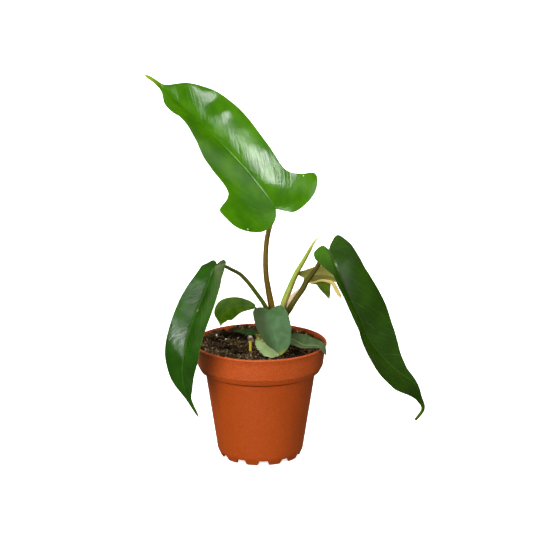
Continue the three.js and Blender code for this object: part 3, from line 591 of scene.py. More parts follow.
# %% Crumbs
GOLDEN = (1 + 5**0.5) / 2
BALL = unit(np.array([[-1, GOLDEN, 0], [1, GOLDEN, 0], [-1, -GOLDEN, 0], [1, -GOLDEN, 0],
                      [0, -1, GOLDEN], [0, 1, GOLDEN], [0, -1, -GOLDEN], [0, 1, -GOLDEN],
                      [GOLDEN, 0, -1], [GOLDEN, 0, 1], [-GOLDEN, 0, -1], [-GOLDEN, 0, 1]]))
BALL_FACES = np.array([[0, 11, 5], [0, 5, 1], [0, 1, 7], [0, 7, 10], [0, 10, 11], [1, 5, 9],
                       [5, 11, 4], [11, 10, 2], [10, 7, 6], [7, 1, 8], [3, 9, 4], [3, 4, 2],
                       [3, 2, 6], [3, 6, 8], [3, 8, 9], [4, 9, 5], [2, 4, 11], [6, 2, 10],
                       [8, 6, 7], [9, 8, 1]])
CORNERS = len(BALL)


def random_turns(draw, count):
    """Turning matrices from random unit quaternions (w, x, y, z)."""
    w, x, y, z = unit(draw.normal(size=(count, 4))).T
    rows = [1 - 2 * (y * y + z * z), 2 * (x * y - z * w), 2 * (x * z + y * w),
            2 * (x * y + z * w), 1 - 2 * (x * x + z * z), 2 * (y * z - x * w),
            2 * (x * z - y * w), 2 * (y * z + x * w), 1 - 2 * (x * x + y * y)]
    return np.stack(rows, axis=-1).reshape(-1, 3, 3)


def lumps(centres, sizes, flatness, jitter, draw):
    """centre + turn . (corner * size * jitter) for every corner of every lump."""
    count = len(centres)
    shape = draw.uniform(*flatness, size=(count, 1, 3)) * sizes[:, None, None]
    wobble = draw.uniform(1 - jitter, 1 + jitter, size=(count, CORNERS, 1))
    corners = BALL[None] * shape * wobble
    corners = np.einsum("nij,nkj->nki", random_turns(draw, count), corners)
    points = (centres[:, None] + corners).reshape(-1, 3)
    faces = (BALL_FACES[None] + CORNERS * np.arange(count)[:, None, None]).reshape(-1, 3)
    return points, faces

# %% Places of the crumbs
CRUMB_COUNT = 4200
CROWN = dict(x=12.8, y=0.8, foot=80, top=98, radius=8.8)


def scattered(draw, count, radius):
    """Even random places in a disc, radius * sqrt(random), that aren't in the crown."""
    angle = draw.uniform(0, 2 * np.pi, count)
    reach = radius * np.sqrt(draw.uniform(0, 1, count))
    x, y = reach * np.cos(angle), reach * np.sin(angle)
    clear = np.hypot(x - CROWN["x"], y - CROWN["y"]) > CROWN["radius"] * 0.9
    return x[clear], y[clear]


draw = np.random.default_rng(21)
crumb_x, crumb_y = scattered(draw, CRUMB_COUNT, inside_radius(SOIL_LEVEL) - 1.6)
crumb_size = 0.36 + 1.25 * draw.uniform(0, 1, len(crumb_x)) ** 4
crumb_z = bed_height(crumb_x, crumb_y) + crumb_size * 0.35
crumb_points, crumb_faces = lumps(np.stack([crumb_x, crumb_y, crumb_z], axis=-1), crumb_size,
                                  (0.65, 1.15), 0.22, draw)
# painted shade: crumbs in the hollows are darkened like the bed, with their own random tone
crumb_painted_light = np.clip(1 - hollow(crumb_x, crumb_y) / DEEPEST, 0, 1)
crumb_tone_and_shade = (BED_TONE + (1 - BED_TONE) * draw.uniform(0, 1, len(crumb_x)) ** 1.8) * crumb_painted_light
piece("soil_crumbs", crumb_points, crumb_faces, PEAT, smooth=False,
      marks={"tone": np.repeat(crumb_tone_and_shade, CORNERS)})

# %% Perlite
PERLITE = np.array([[-11.3, 5, 1.2], [-7.1, -20.9, 1.1], [-35, 28, 0.9], [-27.6, 21.1, 0.8],
                    [-17.7, 28, 0.9], [-37.6, -2.2, 0.9], [-31.2, 7.5, 0.8],
                    [-16, 39, 0.8]])             # x, y, size
MORE_PERLITE = 12


def perlite_finish():
    """Off-white, darker in its pores."""
    f = Finish("perlite")
    place = f.node("TexCoord", out=3)
    pores = f.noise(place, 1800, 3, 0.6)
    base = f.mix(pores, (196, 184, 164), (238, 232, 220))
    return f.shade(Base_Color=base, Roughness=0.85, Normal=f.bump(pores, 0.25, 0.8))


more_x, more_y = scattered(draw, MORE_PERLITE, 44)
grain_x = np.concatenate([PERLITE[:, 0], more_x])
grain_y = np.concatenate([PERLITE[:, 1], more_y])
grain_size = np.concatenate([PERLITE[:, 2], 0.35 + 0.5 * draw.uniform(0, 1, len(more_x))])
grain_z = bed_height(grain_x, grain_y) + grain_size * 0.55
grain_points, grain_faces = lumps(np.stack([grain_x, grain_y, grain_z], axis=-1), grain_size,
                                  (0.75, 1.1), 0.15, draw)
piece("perlite_grains", grain_points, grain_faces, perlite_finish())

# %% Peat fibres
FIBRE_COUNT = 640
FIBRE_STEPS, FIBRE_SIDES = 7, 4
FIBRE_START, FIBRE_END = 43, 47   # mm from the axis within which a strand starts and stays


def fibres(draw):
    """Thin strands lying on the bed. Each follows an arc: its direction turns evenly along
    its length. It rides half on the ground below each place and half on that of the whole
    strand. The radius is 0 at both ends, which closes it."""
    x, y = scattered(draw, FIBRE_COUNT, FIBRE_START)
    count = len(x)
    t = np.linspace(0, 1, FIBRE_STEPS)[None]
    heading = draw.uniform(0, 2 * np.pi, (count, 1)) + draw.uniform(-1.4, 1.4, (count, 1)) * t
    length = draw.uniform(2.5, 8, (count, 1))
    px = x[:, None] + length * t * np.cos(heading)
    py = y[:, None] + length * t * np.sin(heading)
    inward = np.minimum(1, FIBRE_END / np.maximum(np.hypot(px, py), 1))
    px, py = px * inward, py * inward
    ground = bed_height(px, py)
    level = ground.mean(axis=1, keepdims=True) + 0.3 + draw.uniform(0, 1.0, (count, 1))
    pz = 0.5 * level + 0.5 * ground + 0.3
    middle = np.stack([px, py, pz], axis=-1)
    forward = unit(np.gradient(middle, axis=1))
    across = unit(np.cross(forward, [0, 0, 1.0]))
    over = np.cross(across, forward)
    radius = draw.uniform(0.09, 0.26, (count, 1)) * np.sqrt(np.clip(4 * t * (1 - t), 0, 1))
    angle = np.arange(FIBRE_SIDES) * 2 * np.pi / FIBRE_SIDES
    ring = (across[:, :, None] * np.cos(angle)[:, None] + over[:, :, None] * np.sin(angle)[:, None])
    points = middle[:, :, None] + ring * radius[:, :, None, None]
    size = FIBRE_STEPS * FIBRE_SIDES
    faces = np.vstack([grid_faces(FIBRE_STEPS, FIBRE_SIDES, True, i * size) for i in range(count)])
    tone = np.repeat(draw.uniform(0.2, 1, count), size)
    return points.reshape(-1, 3), faces, tone


fibre_points, fibre_faces, fibre_tone = fibres(np.random.default_rng(31))
piece("peat_fibres", fibre_points, fibre_faces, PEAT, marks={"tone": fibre_tone})

# %% [markdown]
# ## Leaf blades
# A leaf is drawn flat first: for each half, how far out the margin is at each place along the
# midrib. Then the flat shape is bent. The midrib follows a curve in space, each half rises
# from it by a fold and turns down again by a curl, and that places every point exactly.

# %% Leaf numbers
# midrib: points in mm from the stalk to the drip tip. facing: where the upper face looks.
# left and right: the outline of each half as (along, out), from the notch to the tip.
# fold: degrees that a half rises. curl: degrees that it turns down over each 10 mm.
LEAVES = {
    "leaf_top": dict(
        midrib=[[11.5, -2, 199], [-2, 5, 216], [-17, 13, 233], [-46, 27, 260], [-76, 40, 286],
            [-91.5, 46, 296.5]],
        facing=[[0.45, -1, 0.5], [0.45, -1, 0.5], [0.4, -1, 0.55], [0.35, -1, 0.6]],
        fold_left=[[0, 22], [0.17, 24], [0.33, 30], [0.5, 40], [0.67, 46], [0.83, 32], [1, 12]],
        fold_right=[[0, 12], [0.33, 14], [1, 10]], curl_left=[[0, 2], [0.33, 4], [1, 3]],
        curl_right=[[0, 2], [0.33, 5], [1, 3]],
        left=[[0, 0], [-6, 5], [-11, 15], [-11, 28], [-5, 39], [2, 45], [11, 47.5], [19, 48], [22, 43],
            [25, 34], [31, 30], [50, 30.5], [63, 30], [78, 25], [94, 20.5], [107, 20.5], [118, 15.5],
            [128.5, 5], [138, 2.1], [146, 1.5], [150, 0]],
        right=[[0, 0], [-6, 5], [-11, 12], [-10, 26], [-6, 36], [1, 43], [7, 43], [12, 33], [22, 25.5],
            [45, 28], [71, 31.5], [88, 31], [102, 28], [120, 17], [131, 4], [138, 2.1], [146, 1.5],
            [150, 0]],
    ),
    "leaf_left": dict(
        midrib=[[-33, -23, 160.3], [-35.5, -31, 157.5], [-39.5, -37, 147.5], [-45, -41, 134.5],
            [-50.5, -44.5, 121], [-54.8, -46.5, 108], [-57.8, -47, 94.5], [-59, -46.5, 83],
            [-58.5, -45.5, 72.5], [-56, -44, 62], [-52.5, -43, 54], [-47, -41.5, 42.5]],
        facing=[[-0.25, -0.3, 0.95], [-0.5, -0.75, 0.5], [-0.55, -0.85, 0.25], [-0.5, -0.85, 0.2],
            [-0.45, -0.9, 0.1]],
        fold_left=[[0, 14], [0.12, 30], [0.5, 32], [0.8, 20], [1, 10]],
        fold_right=[[0, 16], [0.15, 32], [0.6, 30], [1, 12]], curl_left=[[0, 5], [0.5, 7], [1, 3]],
        curl_right=[[0, 5], [0.5, 6], [1, 3]],
        left=[[0, 0], [-4, 3], [-2, 6.5], [6, 11], [15, 17], [27, 20.5], [50, 20.5], [73, 20.5],
            [88, 16.5], [101, 11], [110, 6], [116, 2.8], [122, 1.7], [129, 1.1], [133, 0]],
        right=[[0, 0], [-4, 3], [-3, 5.5], [4, 9], [16, 11.5], [29, 14.5], [43, 16], [67, 16],
            [79, 15], [89, 12.5], [98, 9.5], [106, 5.7], [114, 2.5], [121, 1.7], [129, 1.1], [133, 0]],
    ),
    "leaf_right": dict(
        midrib=[[53.2, -2, 166.5], [58, -12, 156], [66.5, -19, 138], [76, -23, 118],
            [84.5, -24.5, 99.5], [96, -24.5, 84.5], [108, -22, 73], [117, -19, 66],
            [122.3, -17, 59], [125.4, -16, 50], [127.7, -15, 41], [121.6, -17, 32.3]],
        facing=[[0.2, -0.6, 0.8], [0.5, -0.8, 0.4], [0.55, -0.8, 0.3], [0.5, -0.85, 0.3],
            [0.3, -0.8, 0.5], [0.45, -0.85, 0.3], [0.5, -0.85, 0.2]],
        fold_left=[[0, 10], [0.3, 6], [0.7, 8], [1, 6]],
        fold_right=[[0, 10], [0.06, 20], [0.14, 45], [0.4, 48], [0.55, 40], [0.7, 24], [0.85, 14],
            [1, 6]],
        curl_left=[[0, 4], [0.5, 5], [1, 3]], curl_right=[[0, 6], [0.5, 5], [1, 3]],
        left=[[0, 0], [-5, 3.5], [-11, 11], [-4, 17], [8, 21.4], [27, 24.4], [43, 27], [57, 28],
            [70, 26.5], [86, 23], [100, 17], [115, 9], [126, 4.2], [137, 2.2], [150, 1.8], [164, 1.3],
            [172, 0]],
        right=[[0, 0], [-4, 4], [0, 12], [8, 17], [13, 17.5], [20, 15.5], [30, 16.5], [45, 17.5],
            [60, 18.5], [80, 17.5], [95, 18.5], [108, 18.5], [118, 17], [136, 10.5], [146, 4],
            [155, 1.8], [165, 1.3], [172, 0]],
    ),
    "leaf_front": dict(
        midrib=[[7, -13, 120.6], [7.7, -18, 115.8], [9.2, -22, 108.8], [11.7, -25, 100],
            [15.5, -27.5, 88.5]],
        facing=[[0, -1, 0.5], [0, -1, 0.35], [0.05, -1, 0.3], [0.05, -1, 0.2]],
        fold_left=[[0, 12], [1, 6]], fold_right=[[0, 12], [1, 6]], curl_left=6, curl_right=6,
        left=[[0, 0], [-3, 8], [1, 12.3], [8, 14.5], [18, 14.5], [29, 11], [34, 7], [37.6, 0]],
        right=[[0, 0], [-3, 6], [-1.5, 11.5], [3, 13], [14, 11.5], [25, 8], [32, 3], [37.6, 0]],
    ),
    "leaf_small_left": dict(
        midrib=[[-4, 9.5, 117.3], [-10.5, 11.5, 118], [-17.5, 14, 117], [-24.5, 16, 113.5],
            [-29.5, 17.5, 108], [-31.5, 18.5, 98.5]],
        facing=[[-0.2, -0.8, 0.7], [-0.25, -0.9, 0.6], [-0.4, -0.95, 0.3], [-0.5, -0.9, 0.2]],
        fold_left=10, fold_right=12, curl_left=7, curl_right=7,
        left=[[0, 0.9], [0.4, 1.8], [3, 3.6], [9, 6], [16, 8], [25, 8.8], [33, 5], [37, 1.3], [40, 0]],
        right=[[0, 0.9], [0.4, 1.8], [4, 3.5], [10, 5.5], [17, 8], [25, 10], [31, 8], [36, 3], [40, 0]],
    ),
    "leaf_rear": dict(
        midrib=[[34.5, 14, 139.7], [40.5, 17, 141], [48.5, 20, 141.2], [58, 22, 138.5], [67, 22, 133.5]],
        facing=[[0, 0.95, 0.3], [0, 0.95, 0.3], [0.2, 0.9, 0.3]],
        fold_left=6, fold_right=6, curl_left=6, curl_right=6,
        left=[[0, 0.9], [0.8, 2.4], [4, 6.2], [12, 8], [24, 6], [36, 0]],
        right=[[0, 0], [-3.2, 2.6], [-6, 5.8], [-3.5, 7], [3, 6.6], [10, 7.5], [18, 8], [26, 6], [36, 0]],
    ),
    "leaf_rear_low": dict(
        midrib=[[34.6, 26, 134], [40.2, 28, 135.7], [46.7, 29.5, 135.3], [51.8, 29, 130.8],
            [54.3, 28, 124.8], [55.1, 27, 118.6]],
        facing=[[0.1, -0.6, 0.9], [0.2, -0.8, 0.7], [0.3, -0.95, 0.3], [0.2, -1, 0.1]],
        fold_left=10, fold_right=10, curl_left=5, curl_right=5,
        left=[[0, 0.9], [0.8, 2.2], [3, 5], [12, 6], [20, 4.5], [25, 2], [29, 1], [33, 0]],
        right=[[0, 0.9], [1.2, 2.6], [5, 6], [14, 7], [22, 6.5], [29, 3.2], [33, 0]],
    ),
    "leaf_rim": dict(
        midrib=[[21, -7.4, 96.8], [25, -10, 96.6], [29.5, -14, 95.2], [34, -19, 94.2],
            [41, -23, 95.2], [47, -26, 94.8], [51.5, -28.5, 87.5]],
        facing=[[0.05, -0.45, 1], [0.1, -0.5, 1], [0.2, -0.5, 1], [0.8, -0.6, 0.6]],
        fold_left=[[0, 15], [0.5, 25], [1, 10]], fold_right=5, curl_left=4, curl_right=4,
        left=[[0, 0.9], [0.3, 2.2], [2.5, 5.5], [7, 7.5], [13, 9.2], [21, 8], [28, 5.5], [34, 3.5],
            [41.5, 0]],
        right=[[0, 0.9], [0.3, 2.2], [3, 5.6], [10, 6.5], [18, 4], [28, 3.6], [35, 1.6], [41.5, 0]],
    ),
    "leaf_soil": dict(
        midrib=[[-3, 4, 97], [-9, 5.5, 97.6], [-15, 8, 97.6], [-21, 10, 97]],
        facing=[[0, -0.5, 1], [0, -0.5, 1]],
        fold_left=10, fold_right=10, curl_left=4, curl_right=4,
        left=[[0, 0.8], [0.4, 1.6], [4, 3.6], [10, 3], [19, 0]],
        right=[[0, 0.8], [0.4, 1.6], [4, 3.6], [10, 3], [19, 0]],
    ),
    "leaf_pale": dict(
        midrib=[[-3, -9, 95.5], [3, -14, 93], [9.5, -19, 90], [15.5, -22.5, 87.8]],
        facing=[[0.3, -0.6, 0.8], [0.2, -0.5, 0.9], [0.1, -0.4, 1]],
        fold_left=-6, fold_right=-6, curl_left=-3, curl_right=-3,
        left=[[0, 0.9], [0.4, 2.2], [4, 6], [12, 7], [19, 5], [25, 0]],
        right=[[0, 0.9], [0.4, 1.8], [3, 4.5], [4.4, 4.7], [5.4, 6.2], [6.8, 6.0], [8, 7.6],
            [9.8, 7.0], [11, 8.5], [13, 8.0], [16, 9], [18.5, 7.7], [21, 7], [25, 0]],
    ),
}

print("blades:", ", ".join(LEAVES))

# %% Blade surface
FOLD_WIDTH = 2.5                  # mm over which the face turns from the midrib's to the half's


def blade_surface(leaf, along, out, hand):
    """Point and normal. A half is an arc across: with slope = fold - turn * out, it lies
    (sin fold - sin slope) / turn across and (cos slope - cos fold) / turn up."""
    length = by_length(leaf["midrib"], 0)[2]
    share = np.clip(along / length, 0, 1)
    point, forward, _ = by_length(leaf["midrib"], share)
    point = point + forward * np.minimum(along, 0)[..., None]
    up = catmull(leaf["facing"], share)
    up = unit(up - (up * forward).sum(axis=-1, keepdims=True) * forward)
    right = np.cross(forward, up)
    side = "left" if hand < 0 else "right"
    fold = np.radians(ramp(leaf["fold_" + side], share))
    turn = np.radians(ramp(leaf["curl_" + side], share)) / 10
    slope = fold - turn * out
    across = (np.sin(fold) - np.sin(slope)) / turn
    rise = (np.cos(slope) - np.cos(fold)) / turn
    point = point + hand * across[..., None] * right + rise[..., None] * up
    lean = slope * np.minimum(out / FOLD_WIDTH, 1)
    normal = np.cos(lean)[..., None] * up - hand * np.sin(lean)[..., None] * right
    return point, normal


# %% Rows of a blade
LOBE_START = 0.06                 # share of the lobe's outline where its first row ends
VEIN_LEAN = 0.85                  # a row starts on the midrib past this share of its reach
MARGIN_STEPS = 801


def margin(outline):
    """The outline as even steps, in two parts: round the lobe behind the notch, which ends
    where it comes back level with the notch, and on to the tip."""
    points = by_length(outline, np.linspace(0, 1, MARGIN_STEPS))[0]
    back = np.argmin(points[:, 0])
    level = back + np.argmax(points[back:, 0] >= 0)
    return points[:level], points[level:]


def blade_rows(leaf, lobe_rows, side_rows):
    """For each half, where each row starts on the midrib, and the along and out of its end.
    Round a lobe the rows fan out from the notch; then both halves share their starts."""
    halves = {side: margin(leaf[side]) for side in ("left", "right")}
    length = by_length(leaf["midrib"], 0)[2]
    share = np.linspace(0, 1, side_rows + 1)[1:-1]
    steps = {side: np.linspace(0, 1, len(tail)) for side, (_, tail) in halves.items()}
    reach = sum(np.interp(share, steps[side], halves[side][1][:, 0]) for side in halves) / 2
    outs = {side: np.interp(reach, np.maximum.accumulate(tail[:, 0]), tail[:, 1])
            for side, (_, tail) in halves.items()}
    start = np.maximum(reach * VEIN_LEAN, reach - (outs["left"] + outs["right"]) / 4)
    rows = {}
    for side, (lobe, tail) in halves.items():
        edge = np.zeros((0, 2))
        if len(lobe):
            pick = np.linspace(LOBE_START, 1, lobe_rows, endpoint=False) * (len(lobe) - 1)
            edge = lobe[np.round(pick).astype(int)]
        rows[side] = (
            np.concatenate([np.zeros(len(edge) + 1), start, [length]]),
            np.concatenate([edge[:, 0], [0], reach, [length]]),
            np.concatenate([edge[:, 1], [tail[0, 1]], outs[side], [0]]),
        )
    return rows, length


# %% [markdown]
# Side veins leave the midrib at nearly fifty degrees and bend towards the tip. Every place on
# the blade gets one number: how far along the midrib the vein that passes it began. Anything
# drawn by that number, in the shape or in the material, then runs along the veins.

# %% Vein number
VEIN_SLANT = 0.9                  # mm forward for each mm out
VEIN_BEND = 0.03                  # and this times out squared
LOBE_VEINS = 0.19                 # share of the midrib's length that a radian of a lobe counts


def vein_number(out, along, length):
    """along - bend out^2 - slant out. Behind the first vein, which starts at the notch, it is
    the angle about the notch that counts."""
    ahead = along - VEIN_BEND * out**2
    angle = np.arctan2(out, ahead)
    first = np.arctan2(1, VEIN_SLANT)
    return np.where(angle > first, (first - angle) * length * LOBE_VEINS, ahead - VEIN_SLANT * out)

# %% Relief
def relief(place, edge, length, look):
    """Height over the plain blade: a groove on the midrib, a quilt that swells between side
    veins, slow waves that grow to the margin, short ripples at the margin itself, and a few
    named places that lean: slope times distance, fading as a bell."""
    out, vein, along = place[..., 0], place[..., 1], place[..., 2]
    scale = np.clip(length / 140, 0.25, 1)
    groove = -0.25 * scale * bell(out, 0.8) * np.clip(1 - along / length, 0, 1)
    flat_place = np.stack([out, along, 0 * along], axis=-1)
    drift = rough(flat_place, 16 * scale, look["seed"])
    inner = np.clip(np.abs(out) / 4, 0, 1) * (1 - edge**4)
    quilt = look["quilt"] * np.cos(2 * np.pi * (vein + 2 * drift * scale) / look["vein_gap"]) * inner
    slow = look["wave"] * rough(flat_place, 24 * scale, look["seed"] + 1) * edge**2
    ripple = look["ripple"] * rough(flat_place, 8 * scale, look["seed"] + 2) * edge**4
    taper = np.clip((length - along) / 20, 0, 1)
    tilts = 0 * out
    for at_out, at_along, reach, by_out, by_along in look["tilts"]:
        aside, ahead = out - at_out, along - at_along
        tilts = tilts + (by_out * aside + by_along * ahead) * bell(np.hypot(aside, ahead), reach)
    return groove + (quilt + slow + ripple) * taper + tilts

# %% Blade body
TIP_WIDTH = 3.0                   # mm: where a half is narrower, the drip tip rounds to a rod


def blade(leaf, look, lobe_rows, side_rows, columns):
    """A closed thin body. Each face is the surface moved along its normal by the relief and
    half the thickness, which thins towards the margin; below, the midrib stands out. In the
    drip tip, half the thickness is up to 0.9 times the width there, as sqrt(1 - edge^2)."""
    rows, length = blade_rows(leaf, lobe_rows, side_rows)
    share = (1 - np.cos(np.pi * np.arange(columns + 1) / columns)) / 2
    wide = columns + 1
    points, flats, marks, faces = [], [], {"edge": [], "under": []}, []
    count = 0
    for hand, side in ((-1, "left"), (1, "right")):
        start, reach, width = (values[:, None] for values in rows[side])
        along, out = start + (reach - start) * share, width * share
        point, normal = blade_surface(leaf, along, out, hand)
        edge = np.broadcast_to(share, along.shape)
        place = np.stack([hand * out, vein_number(out, along, length), along], axis=-1)
        lift = relief(place, edge, length, look)
        half = look["edge"] + (look["body"] - look["edge"]) * (1 - edge**8)
        slim = np.clip((TIP_WIDTH - width) / TIP_WIDTH, 0, 1) * (along > 0.6 * length)
        half = np.maximum(half, 0.9 * width * slim * np.sqrt(1 - edge**2))
        rib = look["rib"] * bell(out, 1.1) * np.clip(1 - along / length, 0, 1)
        deep = len(along)
        size = deep * wide
        for under, offset in ((0, lift + half), (1, lift - half - rib)):
            points.append((point + normal * offset[..., None]).reshape(-1, 3))
            flats.append(place.reshape(-1, 3))
            marks["edge"].append(edge.ravel())
            marks["under"].append(np.full(size, float(under)))
            faces.append(grid_faces(deep, wide, first=count + under * size))
        rim = count + np.arange(deep) * wide + columns
        faces.append(np.stack([rim[:-1], rim[:-1] + size, rim[1:] + size, rim[1:]], axis=-1))
        first = count + np.arange(wide)
        faces.append(np.stack([first[:-1], first[1:], first[1:] + size, first[:-1] + size], axis=-1))
        count += 2 * size
    marks = {key: np.concatenate(values) for key, values in marks.items()}
    return np.vstack(points), np.vstack(faces), np.vstack(flats), marks, length


# %% [markdown]
# ## Leaf finish
# A philodendron leaf is a thin waxy skin over green flesh. Its colour changes slowly over the
# blade, fine streaks and paler side veins run along the vein number, and the midrib and the
# very margin are pale. The wax makes broad soft highlights, so the roughness stays low.

# %% Leaf finish
def leaf_finish(name, look, length):
    """Layers of colour by the place on the flat blade, each mixed over those before it, and
    below another green. The look's numbers say how strong each layer is."""
    f = Finish(name)
    flat = f.flat()
    out, vein, along = f.parts(flat)
    edge, under = f.mark("edge"), f.mark("under")
    scale = float(np.clip(length / 140, 0.3, 1))
    level = f.stretched(flat, (1, 0, 1))
    patches = f.noise(level, 0.045 / scale, 3)
    fine = look["fineness"]
    streaks = f.noise(f.stretched(flat, (0.06 * fine, 0.34 * fine / scale, 0)), 1.0, 4, 0.6)
    folds = f.noise(f.stretched(flat, (0.035, 0.10 / scale, 0.01)), 1.0, 2)
    cells = f.noise(level, 1.6, 2)
    drift = f.noise(level, 0.06 / scale, 1) * 4 * scale
    cycle = ((vein + drift) / look["vein_gap"]).math("FRACT")
    side_vein = abs(cycle - 0.5).between(0.42, 0.5) * edge.between(1.0, 0.8)
    midrib = abs(out).between(0.95 * scale + 0.15, 0.35 * scale + 0.1)
    midrib = midrib * along.between(length, length * 0.6)
    tip = along.between(length * look["tip_from"], length)

    base = f.mix(patches.between(0.35, 0.68), look["old"], look["young"])
    base = f.mix(streaks.between(0.45, 0.75) * look["streaked"], base, look["streak"])
    base = f.mix(side_vein * look["veins"], base, look["pale"])
    base = f.mix(cells.between(0.62, 0.74) * 0.08, base, look["pale"])
    base = f.mix(edge.between(0.975, 1.0) * 0.5, base, look["pale"])
    base = f.mix(midrib * look["midrib"], base, look["pale"])
    base = f.mix(tip * 0.85, base, look["tip"])
    # painted light: the basal lobe is painted a lighter green, for the light that falls on it more than on
    # the hanging blade
    lobe = along.between(26, 2) * out.between(-1.0, 4.0) * look["lobe_share"]
    base = f.mix(lobe, base, look["lobe"])
    red, green, blue = look["old"]
    shaded = out.between(-1.0, 7.0) * look["shaded"]
    base = f.mix(shaded, base, colour(0.70 * red, 0.66 * green, 0.25 * blue))
    for at_out, at_along, size, tone in look["spots"]:
        ends = {0: level, 1: (at_out, 0, at_along)}
        distance = f.node("VectorMath", {"operation": "DISTANCE"}, ends, out=1)
        base = f.mix(distance.between(size, size * 0.5) * 0.8, base, tone)
    below = f.mix(patches, look["under"], colour(*(value * 0.85 for value in look["under"])))
    below = f.mix(side_vein * 0.15, below, look["pale"])
    below = f.mix(midrib * 0.4, below, look["pale"])
    base = f.mix(under, base, below)

    gloss = look["gloss"] + 0.08 * (streaks - 0.5) + 0.05 * (cells - 0.5) + under * 0.2
    height = streaks * look["grain"] + folds * look["folds"] + cells * 0.05
    return f.shade(Base_Color=base, Roughness=gloss, Normal=f.bump(height, 0.10), IOR=1.5)

# %% Looks of the leaves
# In mm: quilt, wave, ripple, vein_gap, rib, and body and edge, which are half thicknesses.
# tilts: out, along, reach, slope by out, slope by along. spots: out, along, size, colour.
PLAIN_LOOK = dict(quilt=0.006, wave=0.4, ripple=0.2, vein_gap=7.0, body=0.28, edge=0.10, rib=0.9,
                  veins=0.05, midrib=0.22, streaked=0.16, tip_from=0.86, gloss=0.22, grain=0.35,
                  fineness=1.0, folds=1.5, lobe=(60, 104, 10), lobe_share=0.0, shaded=0.0,
                  tilts=(), spots=())
SMALL_LOOK = PLAIN_LOOK | dict(quilt=0.004, wave=0.25, ripple=0.12, vein_gap=3.6, body=0.24, rib=0.5,
                               folds=0.7)
LOOKS = {
    "leaf_top": PLAIN_LOOK | dict(
        seed=41, old=(44, 94, 0), young=(64, 116, 1), streak=(78, 128, 4), pale=(120, 156, 50),
        tip=(134, 158, 34), under=(84, 118, 44), gloss=0.13, grain=1.3, midrib=0.05, veins=0.02,
        tilts=[(21, 90, 7.5, 0.02, -0.16), (20, -2, 13, 0.05, 0.10), (17, 14, 15, -0.11, 0.0),
               (12, 118, 10, 0.10, 0.0), (35, 7, 18, 0.0, 0.10)],
        spots=[(34.5, 9, 0.7, (206, 216, 190)), (-37, -4, 0.8, (206, 216, 190))]),
    "leaf_left": PLAIN_LOOK | dict(
        seed=47, old=(26, 62, 6), young=(37, 80, 12), streak=(50, 90, 20), pale=(90, 120, 56),
        tip=(64, 90, 16), under=(76, 106, 50), gloss=0.11, grain=3.0, fineness=1.3, veins=0.02,
        spots=[(-0.8, 42.5, 1.6, (140, 120, 74))]),
    "leaf_right": PLAIN_LOOK | dict(
        seed=53, old=(26, 54, 0), young=(35, 68, 1), streak=(46, 76, 4), pale=(80, 106, 36),
        tip=(72, 98, 8), under=(76, 104, 44), gloss=0.26, grain=0.15, folds=0.8, veins=0.0,
        lobe=(60, 108, 12), lobe_share=0.75),
    "leaf_front": SMALL_LOOK | dict(
        seed=59, old=(54, 86, 42), young=(66, 102, 62), streak=(76, 110, 72), pale=(124, 146, 90),
        tip=(130, 134, 40), under=(100, 124, 80), gloss=0.58, midrib=0.04, shaded=0.9),
    "leaf_small_left": SMALL_LOOK | dict(
        seed=61, old=(48, 86, 0), young=(76, 114, 2), streak=(88, 122, 8), pale=(130, 156, 56),
        tip=(120, 136, 40), under=(90, 120, 50), gloss=0.36),
    "leaf_rear": SMALL_LOOK | dict(
        seed=67, old=(60, 96, 20), young=(76, 108, 30), streak=(84, 116, 36), pale=(190, 186, 120),
        tip=(214, 200, 140), under=(172, 168, 84), gloss=0.40),
    "leaf_rear_low": SMALL_LOOK | dict(
        seed=71, old=(66, 92, 0), young=(84, 106, 4), streak=(92, 114, 10), pale=(140, 150, 60),
        tip=(130, 130, 40), under=(96, 112, 50), gloss=0.34),
    "leaf_rim": SMALL_LOOK | dict(
        seed=73, old=(54, 74, 40), young=(70, 90, 54), streak=(82, 100, 62), pale=(150, 164, 118),
        tip=(130, 142, 78), under=(120, 140, 100), gloss=0.42, midrib=0.45),
    "leaf_soil": SMALL_LOOK | dict(
        seed=79, old=(24, 52, 10), young=(36, 66, 16), streak=(44, 74, 22), pale=(80, 104, 50),
        tip=(60, 80, 30), under=(60, 84, 40), gloss=0.38),
    "leaf_pale": SMALL_LOOK | dict(
        seed=83, old=(140, 164, 104), young=(158, 182, 122), streak=(172, 192, 138),
        pale=(206, 214, 178), tip=(190, 196, 150), under=(140, 160, 110), gloss=0.40),
}

# %% Blades
# rows round each lobe, rows along each side, and steps from the midrib to the margin
BLADE_GRID = {"leaf_top": (46, 190, 34), "leaf_left": (26, 190, 26), "leaf_right": (32, 210, 28)}
SMALL_GRID = (16, 70, 18)

for name, leaf in LEAVES.items():
    grid = BLADE_GRID.get(name, SMALL_GRID)
    points, faces, flats, marks, length = blade(leaf, LOOKS[name], *grid)
    finish = leaf_finish(name + "_skin", LOOKS[name], length)
    piece(name.replace("leaf", "blade"), points, faces, finish, [name], flats, marks)

# %% [markdown]
# ## Stalks
# A leaf stalk is a fleshy rod, thick where it leaves the crown and thin at the blade, where it
# runs on below as the midrib. A curve with a bevel would give a plain pipe. A tube worked out
# ring by ring also gets the shallow groove on the upper side and the fine ribs of the skin.

